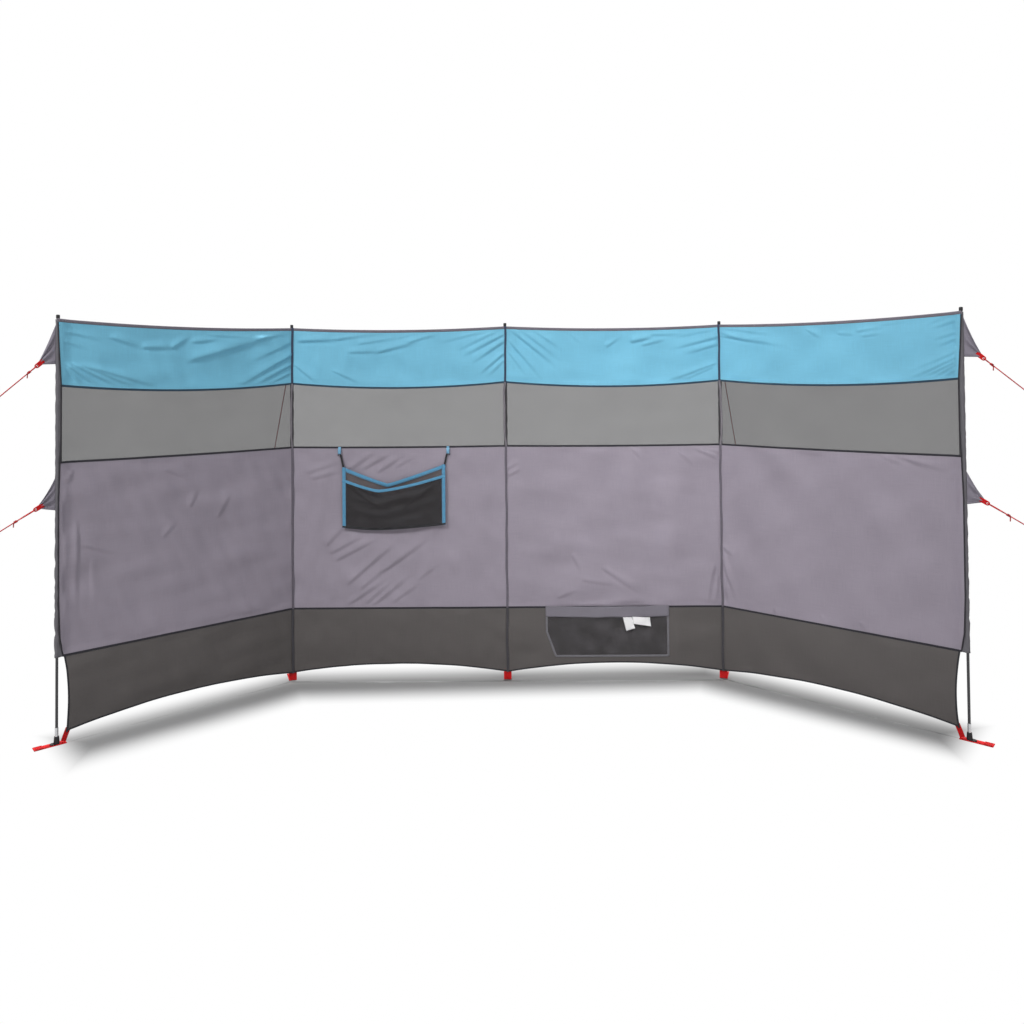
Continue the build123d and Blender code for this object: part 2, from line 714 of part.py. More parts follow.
def organiser_hook(place, side):
    """Hook through a hanging loop, with a flat shank that slants to the organiser's top corner."""
    hook_fall = bend_fall(HOOK_BEND_RADIUS - HOOK_RADIUS, HANGER_THICKNESS / 2)
    apex = HANGER_HOLE_HEIGHT - HANGER_HOLE_RADIUS + HOOK_RADIUS + SEAT_CLEARANCE + hook_fall
    shoulder = apex - HOOK_BEND_RADIUS
    free_leg = place - side * HOOK_BEND_RADIUS
    long_leg = place + side * HOOK_BEND_RADIUS
    corner = (ORGANISER_START if side > 0 else ORGANISER_END) + side * HOOK_SHANK_WIDTH / 2
    leg_end = shoulder - HOOK_TAIL
    half_width = HOOK_SHANK_WIDTH / 2
    hook_plane = bay_plane(ORGANISER_BAY).offset(HANGER_HOLE_DEPTH)
    free_end = hook_plane.from_local_coords(Vector(free_leg, leg_end))
    with BuildPart() as hook:
        with BuildLine(hook_plane):
            Line((free_leg, leg_end), (free_leg, shoulder))
            ThreePointArc((free_leg, shoulder), (place, apex), (long_leg, shoulder))
            Line((long_leg, shoulder), (long_leg, leg_end))
        with BuildSketch(Plane(free_end)):
            Circle(HOOK_RADIUS)
        sweep()
        with BuildSketch(bay_plane(ORGANISER_BAY).offset(ORGANISER_MIDDLE)):
            with BuildLine():
                Polyline(
                    (corner - half_width, ORGANISER_TOP),
                    (corner + half_width, ORGANISER_TOP),
                    (long_leg + half_width, leg_end + HOOK_SHANK_LAP),
                    (long_leg - half_width, leg_end + HOOK_SHANK_LAP),
                    close=True,
                )
            make_face()
        extrude(amount=BINDING_THICKNESS / 2, both=True)
    return hook.part


# Mesh pocket on the skirt: open along its banded top, sewn down on the other sides
POCKET_BAY = BAY_NAMES.index("right_centre")
SKIRT_POCKET_END = SKIRT_POCKET_START + SKIRT_POCKET_WIDTH
SKIRT_POCKET_TOP = LOWER_SEAM_HEIGHT - SKIRT_POCKET_DROP
SKIRT_POCKET_BOTTOM = SKIRT_POCKET_TOP - SKIRT_POCKET_HEIGHT
SKIRT_FRONT = CLOTH_THICKNESS / 2
MESH_TOP = SKIRT_POCKET_TOP - SKIRT_POCKET_BAND
MESH_KNEE = SKIRT_POCKET_BOTTOM + (MESH_TOP - SKIRT_POCKET_BOTTOM) * SKIRT_POCKET_SLANT_SHARE


def skirt_pocket_mesh():
    sides = (SKIRT_POCKET_END, SKIRT_FRONT)
    knee_bulge = SKIRT_POCKET_BULGE * SKIRT_POCKET_SLANT_SHARE
    foot_start = SKIRT_POCKET_START + SKIRT_POCKET_SLANT
    with BuildPart() as mesh:
        add(bulged_strip(POCKET_BAY, SKIRT_POCKET_BOTTOM, foot_start, *sides, 0, POCKET_MESH))
        add(bulged_strip(POCKET_BAY, MESH_KNEE, SKIRT_POCKET_START, *sides, knee_bulge, POCKET_MESH))
        add(bulged_strip(POCKET_BAY, MESH_TOP, SKIRT_POCKET_START, *sides, SKIRT_POCKET_BULGE, POCKET_MESH))
        loft(ruled=True)
    return mesh.part


def skirt_pocket_band():
    ends = (SKIRT_POCKET_START - SKIRT_POCKET_EDGE, SKIRT_POCKET_END + SKIRT_POCKET_EDGE)
    with BuildPart() as band:
        add(bulged_strip(POCKET_BAY, MESH_TOP, *ends, SKIRT_FRONT, SKIRT_POCKET_BULGE, POCKET_MESH))
        extrude(amount=SKIRT_POCKET_BAND, dir=(0, 0, 1))
    return band.part


def skirt_pocket_edge():
    """Binding down the left side, along the bottom and up the right side."""
    foot_start = SKIRT_POCKET_START + SKIRT_POCKET_SLANT
    inner = (
        (SKIRT_POCKET_START, MESH_TOP),
        (SKIRT_POCKET_START, MESH_KNEE),
        (foot_start, SKIRT_POCKET_BOTTOM),
        (SKIRT_POCKET_END, SKIRT_POCKET_BOTTOM),
        (SKIRT_POCKET_END, MESH_TOP),
    )
    outer = (
        (SKIRT_POCKET_END + SKIRT_POCKET_EDGE, MESH_TOP),
        (SKIRT_POCKET_END + SKIRT_POCKET_EDGE, SKIRT_POCKET_BOTTOM - SKIRT_POCKET_EDGE),
        (foot_start - SKIRT_POCKET_EDGE, SKIRT_POCKET_BOTTOM - SKIRT_POCKET_EDGE),
        (SKIRT_POCKET_START - SKIRT_POCKET_EDGE, MESH_KNEE),
        (SKIRT_POCKET_START - SKIRT_POCKET_EDGE, MESH_TOP),
    )
    with BuildPart() as edge:
        with BuildSketch(bay_plane(POCKET_BAY).offset(SKIRT_FRONT)):
            with BuildLine():
                Polyline(*inner, *outer, close=True)
            make_face()
        extrude(amount=SKIRT_POCKET_EDGE_THICKNESS)
    return edge.part


def skirt_pocket_tag(place_share):
    """Blank care tag that hangs from the pocket's band, in front of the mesh."""
    middle = SKIRT_POCKET_START + SKIRT_POCKET_WIDTH * place_share
    pocket_middle = SKIRT_POCKET_START + SKIRT_POCKET_WIDTH / 2
    half_span = SKIRT_POCKET_WIDTH / 2 + SKIRT_POCKET_EDGE
    nearest = middle - TAG_WIDTH / 2 - pocket_middle
    bulge_there = SKIRT_POCKET_BULGE * (1 - (nearest / half_span) ** 2)
    depth = SKIRT_FRONT + bulge_there + POCKET_MESH + SEAT_CLEARANCE
    with BuildPart() as tag:
        with BuildSketch(bay_plane(POCKET_BAY).offset(depth)):
            with Locations((middle, MESH_TOP + TAG_SEWN)):
                Rectangle(TAG_WIDTH, TAG_HEIGHT, align=(Align.CENTER, Align.MAX))
        extrude(amount=TAG_THICKNESS)
    return tag.part


# Every node of the windbreak, by name
nodes = {}
for bay, bay_name in enumerate(BAY_NAMES):
    nodes[f"{bay_name}_top_band"] = cloth_band(bay, HEM_FOOT, UPPER_SEAM[0], CLOTH_THICKNESS)
    nodes[f"{bay_name}_mesh_band"] = cloth_band(bay, UPPER_SEAM[1], MIDDLE_SEAM[0], CLOTH_THICKNESS)
    nodes[f"{bay_name}_main_panel"] = cloth_band(bay, MIDDLE_SEAM[1], LOWER_SEAM[0], CLOTH_THICKNESS)
    if bay not in END_BAYS:
        nodes[f"{bay_name}_skirt"] = cloth_band(bay, LOWER_SEAM[1], SKIRT_TAPE_TOP, CLOTH_THICKNESS)
nodes["left_wing_skirt"] = wing_skirt()
nodes["right_wing_skirt"] = mirrored(nodes["left_wing_skirt"])

bays = range(len(BAY_NAMES))
poles = range(len(POLE_NAMES))
inner_bays = [bay for bay in bays if bay not in END_BAYS]
inner_poles = [pole for pole in poles if pole not in END_POLES]

nodes["top_hem"] = gathered(cloth_band(bay, HEM_TOP, HEM_FOOT, TAPE_THICKNESS) for bay in bays)
nodes["band_seams"] = gathered(
    cloth_band(bay, *seam, TAPE_THICKNESS) for bay in bays for seam in (UPPER_SEAM, MIDDLE_SEAM, LOWER_SEAM)
)
left_tape = wing_skirt_tape()
inner_tapes = [cloth_band(bay, SKIRT_TAPE_TOP, SKIRT_FOOT, TAPE_THICKNESS) for bay in inner_bays]
nodes["skirt_hem"] = gathered([left_tape, mirrored(left_tape), *inner_tapes])
nodes["pole_seam_tapes"] = gathered(pole_tape(pole) for pole in inner_poles)

for pole, pole_name in enumerate(POLE_NAMES):
    nodes[f"{pole_name}_pole"] = pole_rod(pole)
    nodes[f"{pole_name}_sleeve"] = pole_sleeve(pole)
nodes["pole_caps"] = gathered(pole_cap(pole) for pole in poles)
nodes["pole_ferrules"] = gathered(pole_ferrule(pole) for pole in poles)
nodes["foot_cups"] = gathered(foot_cup(pole) for pole in poles)
left_strap = end_foot_strap()
inner_straps = [inner_foot_strap(pole) for pole in inner_poles]
nodes["foot_straps"] = gathered([left_strap, mirrored(left_strap), *inner_straps])

nodes["guy_gussets"] = gathered(guy_gusset(pole, guy) for pole in poles for guy in GUYS.values())
nodes["guy_loops"] = gathered(guy_loop(pole, guy) for pole in poles for guy in GUYS.values())
for guy_name, guy in GUYS.items():
    nodes[f"{guy_name}_guys"] = gathered(guy_rope(pole, guy) for pole in poles)
nodes["guy_pegs"] = gathered(guy_peg(pole) for pole in poles)

nodes["organiser_back"] = organiser_back()
nodes["organiser_pocket"] = organiser_pocket()
nodes["organiser_binding"] = gathered([organiser_frame_binding(), organiser_pocket_binding()])
nodes["organiser_hangers"] = gathered(organiser_hanger(place) for place in HANGER_PLACES)
hook_sides = zip(HANGER_PLACES, (1, -1))
nodes["organiser_hooks"] = gathered(organiser_hook(place, side) for place, side in hook_sides)
nodes["skirt_pocket_mesh"] = skirt_pocket_mesh()
nodes["skirt_pocket_binding"] = gathered([skirt_pocket_band(), skirt_pocket_edge()])
nodes["skirt_pocket_tags"] = gathered(skirt_pocket_tag(share) for share in TAG_PLACE_SHARES)

os.makedirs("parts", exist_ok=True)
for name, piece in nodes.items():
    piece.label = name
    export_step(piece, f"parts/{name}.step")
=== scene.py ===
import math
from collections import namedtuple

import bpy
import numpy as np
from mathutils import Matrix, Vector


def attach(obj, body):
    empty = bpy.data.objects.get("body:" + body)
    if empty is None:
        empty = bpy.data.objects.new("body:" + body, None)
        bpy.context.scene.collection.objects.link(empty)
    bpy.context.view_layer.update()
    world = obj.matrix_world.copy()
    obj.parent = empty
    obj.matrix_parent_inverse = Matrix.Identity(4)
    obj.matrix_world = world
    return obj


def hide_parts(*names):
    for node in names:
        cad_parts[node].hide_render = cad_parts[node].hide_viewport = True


# A camping windbreak: four bays of cloth between five poles, guyed to pegs.
# Metres, in the frame of the solids: +X right, -Y the sheltered side, +Z up.
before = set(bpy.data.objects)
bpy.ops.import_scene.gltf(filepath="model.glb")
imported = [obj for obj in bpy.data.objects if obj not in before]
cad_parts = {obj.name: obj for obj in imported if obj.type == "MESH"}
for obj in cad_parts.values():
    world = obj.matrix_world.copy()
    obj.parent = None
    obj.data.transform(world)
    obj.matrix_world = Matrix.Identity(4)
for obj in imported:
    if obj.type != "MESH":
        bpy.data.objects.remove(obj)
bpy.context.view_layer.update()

# Plan of the bays
BAY_WIDTH = 0.915
WING_TURN = math.radians(41)
POLE_SETBACK = 0.014
END_FLAT = 0.014
SEAM_INSET = 0.001

# Edges between the bands: height at the poles, and sag in the middle of a bay
Edge = namedtuple("Edge", "height sag")
HEM_TOP = Edge(1.505, 0.012)
HEM_FOOT = Edge(1.493, 0.012)
UPPER_SEAM = Edge(1.266, 0.022)
MIDDLE_SEAM = Edge(0.993, 0.003)
LOWER_SEAM = Edge(0.306, 0.0)
SKIRT_FOOT = Edge(0.034, -0.036)
CUT_EDGES = (HEM_TOP, UPPER_SEAM, MIDDLE_SEAM, LOWER_SEAM, SKIRT_FOOT)

# Cloth: thickness, lap under the hem, and how far each band bellies between its seams
CLOTH_THICKNESS = 0.0008
UNDERLAP = 0.003
BELLIES = (-0.003, -0.005, -0.010, 0.003)

# What a seam lets the cloth keep of its folds, and how far from it they are whole
SEAM_HOLDS = ((0.06, 0.055), (0.3, 0.03), (0.3, 0.03), (0.25, 0.03), (0.5, 0.03))
SEAM_HOLD_START = 0.006
POLE_HOLD = 0.010
FOLD_GAIN = 1.4

# Slight waves of loose cloth
SLACK_WAVES = 16
SLACK_LENGTHS = (0.05, 0.24)
SLACK_STEEPNESS = 0.0046

# First seeds of the random draws
SLACK_SEED = 11
SLEEVE_SEED = 31
GUSSET_SEED = 71

# Tapes: widths, thicknesses, and the steps along their lines
HEM_TAPE = 0.012
HEM_TAPE_THICKNESS = 0.0028
SEAM_TAPE = 0.008
SEAM_TAPE_THICKNESS = 0.0030
SKIRT_TAPE = 0.006
SKIRT_TAPE_THICKNESS = 0.0026
POLE_TAPE = 0.009
POLE_TAPE_THICKNESS = 0.0012
POLE_TAPE_OUT = 0.0019
MESH_SEAM_SHIFT = 0.006
MESH_SEAM_FADE = 0.05
END_PIPING = 0.0045
END_PIPING_THICKNESS = 0.0028
END_PIPING_OUT = 0.0006
LINE_STEP = 0.009
HEM_STEP = 0.006
POLE_TAPE_STEP = 0.008

# Stitches: spacing, length and thread, how far they stand out, and where their rows lie
STITCH_SPACING = 0.005
SEAM_STITCH_SPACING = 0.006
STITCH_LENGTH = 0.0034
STITCH_THREAD = 0.0008
FINE_STITCHES = (0.0045, 0.0030)
LOOP_STITCHES = (0.0032, 0.0023, 0.0007)
STRAP_STITCHES = (0.0042, 0.0028, 0.0008)
STITCH_LIFT = 0.0007
HEM_ROW_INSET = 0.004
FOOT_ROW_INSET = 0.04
SEAM_ROW_SHIFT = 0.0022
POLE_ROW_SHIFT = 0.003

# Skirt's free edges, and sleeves
SKIRT_EDGE_TOP = 0.022
SKIRT_EDGE_WAIST = 0.036
SKIRT_EDGE_CORNER = 0.030
SLEEVE_RADIUS = 0.0075
SLEEVE_LAP = 0.004
WING_LAPS = (
    (LOWER_SEAM.height, 0.018), (0.37, 0.006), (0.50, 0.001), (0.85, 0.0), (MIDDLE_SEAM.height, 0.004),
    (1.09, 0.008), (UPPER_SEAM.height, 0.008), (1.385, 0.001), (HEM_TOP.height, -SLEEVE_LAP),
)
SLEEVE_LIFT = 0.0098
SLEEVE_LIFT_RUN = (0.002, 0.050)
SLEEVE_LIFT_CLIMB = (-0.006, 0.045)
SLEEVE_WALL = 0.0015
SEAM_FIN = 0.001
SLEEVE_NECK = 0.004
SLEEVE_DROP = 0.002
SLEEVE_TUCK = 0.0005
SLEEVE_ROWS = 150
GATHERS = 22
GATHER_LENGTHS = (0.018, 0.085)
GATHER_SLANT = 0.011
GATHER_STEEPNESS = 0.0065
GATHER_LIMITS = (-0.0024, 0.0022)

# Feet
STRAP_WIDTH = 0.032
STRAP_THICKNESS = 0.0016
STRAP_TAIL = 0.075
STRAP_FOLD = 0.030
STRAP_TOP = 0.048
TAB_WIDTH = 0.018
TAB_FOOT = 0.012
STRAP_BOX_BACK = 0.004
STRAP_BOX_END = 0.008
STRAP_BOX_HALF = 0.011

# Guys
Guy = namedtuple("Guy", "top fall height eye_height eye_length")
UPPER_GUY = Guy(1.484, 0.136, 0.141, 0.034, 0.034)
LOWER_GUY = Guy(0.940, 0.098, 0.116, 0.020, 0.072)
GUSSET_REACH = 0.046
GUSSET_TIP = 0.014
GUSSET_LAP = 0.006
GUSSET_HOLLOW = 0.006
GUSSET_PLEAT = 0.0034
GUSSET_RIPPLE = 0.0016
GUSSET_THICKNESS = 0.001
LOOP_LENGTH = 0.018
LOOP_END_RADIUS = 0.008
LOOP_HOLE_RADIUS = 0.0035
LOOP_HALF_THICKNESS = 0.0019
LOOP_HALF_WIDTH = 0.0085
LOOP_BACK = 0.011
LOOP_ROW_SHIFT = 0.0058
LOOP_ROW_STEPS = (-0.009, -0.002, 0.004)
ROPE_RADIUS = 0.002
PEG_RADIUS = 0.003
END_GUY_RUN = 1.5
INNER_GUY_RUN = 1.3
INNER_GUY_TURN = math.radians(25)
ROPE_SAG = 0.007
EYE_HALF_WIDTH = 0.0066
KNOT_BACK = 0.0014
PEG_EYE_ROOM = 0.0002
Knot = namedtuple("Knot", "back turns radius pitch")
EYE_KNOT = Knot(0.005, 3.2, 0.0029, 0.0033)
PEG_KNOT = Knot(0.009, 2.2, 0.0027, 0.0033)
TAIL_START = 0.007
TAIL_ASIDE = 0.006
TAIL_FALL = 0.016

# Organiser in the left centre bay, and mesh pocket on the skirt of the right centre bay
ORGANISER_START = 0.215
ORGANISER_END = 0.655
ORGANISER_LOW = 0.64
ORGANISER_HIGH = 0.90
ORGANISER_OUT = 0.006
BINDING_WIDTH = 0.015
BINDING_THICKNESS = 0.0030
MOUTH_WIDTH = 0.012
MOUTH_THICKNESS = 0.0034
FOOT_TAPE_WIDTH = 0.010
FOOT_TAPE_THICKNESS = 0.0042
POCKET_BULGE = 0.021
POCKET_MARGIN = 0.037
HangingEdge = namedtuple("HangingEdge", "left right low middle power")
ORGANISER_TOP = HangingEdge(0.908, 0.918, 0.836, 0.44, 1.12)
POCKET_TOP = HangingEdge(0.856, 0.872, 0.812, 0.36, 1.3)
ORGANISER_FOOT = HangingEdge(0.650, 0.660, 0.638, 0.32, 1.6)
SWAG_DEPTH = 0.0078
SWAG_SPACING = 0.052
SWAG_FADE = 0.13
HANGER_PLACES = (0.203, 0.667)
HANGER_WIDTH = 0.012
HANGER_THICKNESS = 0.0014
SKIRT_POCKET_START = 0.172
SKIRT_POCKET_END = 0.678
SKIRT_POCKET_TOP = 0.300
SKIRT_POCKET_BOTTOM = 0.104
SKIRT_POCKET_MOUTH = SKIRT_POCKET_TOP - 0.030
SKIRT_POCKET_BULGE = 0.015
SKIRT_POCKET_SLANT = 0.038
SKIRT_POCKET_KNEE = 0.204
SKIRT_POCKET_EDGE = 0.009
SKIRT_POCKET_EDGE_THICKNESS = 0.0022
SKIRT_POCKET_REST = 0.007
SKIRT_BAND_THICKNESS = 0.0014
SKIRT_BAND_RISE = 0.0055
SKIRT_BAND_LAP = 0.004
TAG_THICKNESS = 0.0005
TAG_OUT = 0.0034
TAG_TUCK = 0.0035
Tag = namedtuple("Tag", "middle width length lean tilt flare curl")
TAGS = (
    Tag(0.507, 0.037, 0.052, 0.27, 0.0, -0.22, 0.004),
    Tag(0.566, 0.076, 0.033, 0.10, 0.05, 0.23, 0.007),
)

# Folds of each bay, in millimetres from its left seam and from the floor:
# where a fold starts and ends, how far it rises, and how wide it spreads
FOLDS = {
    "left_wing": (
        (480, 1365, 810, 1465, 7, 11), (745, 1450, 920, 1495, 5, 8), (295, 1410, 425, 1415, 5, 7),
        (405, 1410, 470, 1455, 5, 6), (180, 1445, 300, 1410, 4, 7), (485, 1435, 595, 1450, 4, 6),
        (545, 1465, 745, 1460, 3, 5), (30, 1330, 80, 1265, 4, 5), (30, 1340, 140, 1260, 5, 5),
        (55, 1340, 215, 1260, 5, 5.5), (85, 1340, 280, 1255, 4.5, 6), (120, 1330, 370, 1255, 4, 6),
        (920, 1395, 670, 1260, 6, 7), (915, 1350, 745, 1265, 5, 6), (905, 1310, 790, 1260, 3, 5),
        (915, 1445, 720, 1360, 3, 7), (30, 1460, 155, 1435, 2.5, 6), (20, 1425, 105, 1400, 2, 6),
        (50, 960, 30, 915, 3, 5), (375, 940, 475, 900, 2, 6), (475, 785, 510, 855, 2.5, 6),
        (590, 735, 640, 830, 2.5, 7), (375, 680, 425, 735, 2, 6), (85, 690, 210, 645, 2.5, 8),
        (65, 765, 60, 450, 4, 6), (115, 630, 120, 465, 2, 6),
    ),
    "left_centre": (
        (30, 1450, 220, 1460, 6, 8), (180, 1455, 415, 1490, 5, 7), (245, 1400, 395, 1405, 4, 7),
        (370, 1400, 545, 1445, 5, 7), (500, 1440, 660, 1490, 4, 6), (285, 1435, 465, 1465, 3, 6),
        (460, 1460, 595, 1495, 3, 5), (910, 1500, 705, 1405, 4, 6), (915, 1475, 730, 1380, 5, 6),
        (915, 1445, 775, 1355, 5, 6), (915, 1395, 800, 1300, 5, 5), (910, 1360, 840, 1295, 3, 5),
        (865, 1495, 630, 1440, 3, 6), (15, 1345, 115, 1265, 4, 5.5), (175, 1320, 300, 1265, 3, 5),
        (65, 885, 210, 935, 3, 7), (85, 860, 210, 895, 3, 7), (240, 895, 360, 980, 3.5, 7),
        (305, 900, 430, 975, 3.5, 7), (365, 885, 490, 970, 3.5, 7), (445, 905, 540, 970, 2.5, 7),
        (145, 575, 225, 665, 3.5, 7), (160, 540, 305, 620, 3.5, 7), (185, 510, 370, 610, 4, 7),
        (240, 415, 445, 595, 5, 8), (285, 385, 495, 560, 3.5, 8), (395, 465, 585, 610, 4.5, 8),
        (240, 325, 410, 440, 4, 7), (310, 325, 440, 440, 3.5, 7), (345, 320, 520, 465, 3.5, 7),
        (425, 330, 555, 425, 2.5, 7), (535, 425, 640, 510, 2, 7),
    ),
    "right_centre": (
        (15, 1500, 225, 1330, 6, 6), (55, 1500, 240, 1360, 5, 6), (115, 1495, 250, 1400, 4, 6),
        (20, 1440, 155, 1285, 5, 5), (265, 1480, 330, 1430, 2.5, 5), (15, 1395, 90, 1300, 3, 5),
        (540, 1435, 635, 1460, 6, 7), (625, 1465, 755, 1470, 5, 6), (435, 1415, 490, 1455, 3, 5),
        (590, 1420, 685, 1445, 3, 5), (905, 1450, 705, 1405, 4, 6), (905, 1420, 770, 1385, 3.5, 6),
        (900, 1485, 720, 1455, 3, 5), (900, 1340, 685, 1265, 4, 5.5), (890, 1325, 755, 1270, 3, 5),
        (5, 895, 55, 925, 3, 5), (10, 865, 60, 895, 3, 5), (900, 935, 795, 985, 3.5, 6),
        (905, 960, 830, 990, 3, 5), (735, 965, 805, 905, 2.5, 6), (540, 975, 595, 925, 2.5, 6),
        (280, 525, 320, 455, 2.5, 6), (415, 465, 565, 370, 3.5, 7), (325, 420, 475, 400, 2, 6),
        (215, 345, 305, 385, 2.5, 6), (385, 320, 600, 335, 2, 6), (880, 475, 845, 310, 4, 8),
        (900, 440, 880, 305, 3.5, 6),
    ),
    "right_wing": (
        (15, 1490, 235, 1455, 3, 5), (20, 1455, 275, 1410, 4, 6), (10, 1470, 135, 1430, 3, 5),
        (370, 1470, 425, 1435, 3, 5), (490, 1445, 555, 1440, 3, 4.5), (565, 1450, 665, 1465, 3.5, 5),
        (585, 1430, 645, 1440, 2.5, 4), (645, 1470, 800, 1490, 3, 5), (910, 1505, 800, 1465, 3, 5),
        (915, 1480, 820, 1450, 3, 4.5), (915, 1415, 835, 1385, 3.5, 4.5), (915, 1435, 825, 1410, 3, 4.5),
        (915, 1350, 745, 1270, 5, 5), (920, 1340, 780, 1270, 5, 4.5), (920, 1330, 815, 1270, 5, 4.5),
        (920, 1315, 850, 1270, 4.5, 4), (925, 1305, 880, 1270, 4, 4), (915, 1370, 730, 1290, 3, 6),
        (0, 565, 50, 525, 3, 5), (-5, 535, 65, 335, 4.5, 6), (-5, 480, 30, 310, 4, 6),
        (630, 985, 725, 950, 3, 6), (690, 985, 815, 940, 3, 6), (725, 975, 860, 940, 3, 6),
        (905, 945, 870, 900, 3, 5), (115, 325, 125, 290, 2.5, 5), (225, 335, 235, 295, 2.5, 5),
        (560, 345, 575, 305, 2.5, 5), (410, 340, 420, 310, 2, 5),
    ),
}


# The plan: five places where the cloth meets a pole, and the four bays between them
def unit(vector):
    return vector / np.linalg.norm(vector)


def square_to(direction):
    """A direction in a plane, turned a quarter clockwise."""
    return np.array((direction[1], -direction[0]))


def spokes(turns):
    """Unit directions in a plane, for angles."""
    return np.stack((np.cos(turns), np.sin(turns)), axis=-1)


def tangents(path):
    """Unit directions along a path."""
    step = np.gradient(path, axis=0)
    return step / np.linalg.norm(step, axis=1, keepdims=True)


def travelled(path):
    """The way gone along a path, at each of its points."""
    return np.concatenate(([0], np.cumsum(np.linalg.norm(np.diff(path, axis=0), axis=1))))


def share_grid(columns, rows):
    """Shares from 0 to 1, across the columns and down the rows of a grid."""
    return np.meshgrid(np.linspace(0, 1, columns), np.linspace(0, 1, rows))


wing_run = BAY_WIDTH * np.array((math.cos(WING_TURN), -math.sin(WING_TURN)))
left_corner = np.array((-BAY_WIDTH, -POLE_SETBACK))
right_corner = np.array((BAY_WIDTH, -POLE_SETBACK))
CORNERS = (
    left_corner + wing_run * (-1, 1),
    left_corner,
    np.array((0.0, -POLE_SETBACK)),
    right_corner,
    right_corner + wing_run,
)


class Bay:
    """One bay of cloth: along it from the left, up, and out towards the sheltered side."""

    def __init__(self, name, number):
        self.name, self.number = name, number
        self.corner = CORNERS[number]
        self.run = unit(CORNERS[number + 1] - CORNERS[number])
        self.out = square_to(self.run)
        self.start = END_FLAT if number == 0 else SEAM_INSET
        self.end = BAY_WIDTH - (END_FLAT if number == 3 else SEAM_INSET)

    def points(self, along, height, out):
        """Places in the frame, for arrays of places on the bay."""
        along, height, out = np.broadcast_arrays(along, height, out)
        flat = self.corner + along[..., None] * self.run + out[..., None] * self.out
        return np.concatenate((flat, height[..., None]), axis=-1)

    def facing(self):
        return np.append(self.out, 0.0)


class Pole:
    """One pole: its foot, the way to the cloth that holds it, and the way that its guys pull."""

    def __init__(self, name, number):
        self.name, self.at_end = name, number in (0, 4)
        before = unit(CORNERS[number] - CORNERS[max(number - 1, 0)]) if number else None
        after = unit(CORNERS[number + 1] - CORNERS[number]) if number < 4 else None
        if self.at_end:
            self.to_cloth = after if number == 0 else -before
            self.foot = CORNERS[number]
            self.guy = -self.to_cloth
            self.guy_run = END_GUY_RUN
        else:
            run = unit(before + after)
            self.to_cloth = square_to(run)
            self.foot = CORNERS[number] - self.to_cloth * POLE_SETBACK
            turn = INNER_GUY_TURN * (number - 2)
            self.guy = np.array((math.sin(turn), math.cos(turn)))
            self.guy_run = INNER_GUY_RUN
            self.half_turn = math.acos(min(float(before @ after), 1.0)) / 2
        self.guy_side = np.append(square_to(self.guy), 0.0)

    def upright(self, outward, points):
        """Places in the upright plane through the pole: along outward, up, and across."""
        points = np.asarray(points, float)
        across = square_to(outward)
        flat = self.foot + points[..., :1] * outward + points[..., 2:3] * across
        return np.concatenate((flat, points[..., 1:2]), axis=-1)


BAYS = [Bay(name, number) for number, name in enumerate(FOLDS)]
POLE_NAMES = ("left_end", "left_inner", "centre", "right_inner", "right_end")
POLES = [Pole(name, number) for number, name in enumerate(POLE_NAMES)]
LEFT_WING, LEFT_CENTRE, RIGHT_CENTRE, RIGHT_WING = BAYS
WINGS = (LEFT_WING, RIGHT_WING)


def ramp(value, low, high):
    """0 below low, 1 above high, and smooth between them."""
    share = np.clip((value - low) / (high - low), 0, 1)
    return share * share * (3 - 2 * share)


def within(value, start, end, fade):
    """1 between two places, and 0 further than a fade outside them."""
    return ramp(value, start - fade, start) * ramp(-value, -end - fade, -end)


def edge_height(edge, bay, along):
    """Height of a hanging edge at places along a bay."""
    share = (2 * along - bay.start - bay.end) / (bay.end - bay.start)
    return edge.height - edge.sag * (1 - share**2)


def slack_waves(seed, along, height):
    """Slight unevenness of loose cloth, in metres."""
    random = np.random.default_rng(seed)
    total = 0.0
    for _ in range(SLACK_WAVES):
        length = random.uniform(*SLACK_LENGTHS)
        angle = random.uniform(0, math.pi)
        phase = random.uniform(0, 2 * math.pi)
        across = along * math.cos(angle) + height * math.sin(angle)
        total = total + SLACK_STEEPNESS * length * np.sin(2 * math.pi * across / length + phase)
    return total


def from_end(bay, along):
    """How far places on a wing lie from its end pole, or the places that lie so far from it."""
    return along if bay is LEFT_WING else BAY_WIDTH - along


def end_reach(height):
    """How far an end sleeve reaches from its pole: wider towards its foot."""
    share = np.clip((MIDDLE_SEAM.height - height) / (MIDDLE_SEAM.height - LOWER_SEAM.height), 0, 1)
    return END_FLAT + (SKIRT_EDGE_TOP - END_FLAT) * share**1.5


def wing_start(height):
    """How far from its end pole a wing's cloth starts: it laps over most of the sleeve."""
    return np.interp(height, *zip(*WING_LAPS))


def fold_profile(aside):
    """A fold across its length: a long gentle side above its crest, and a short steep side below."""
    crest = np.exp(-((aside / np.where(aside > 0, 1.9, 0.62)) ** 2) / 2)
    return crest - 0.25 * np.exp(-(((aside + 1.7) / 0.8) ** 2) / 2)


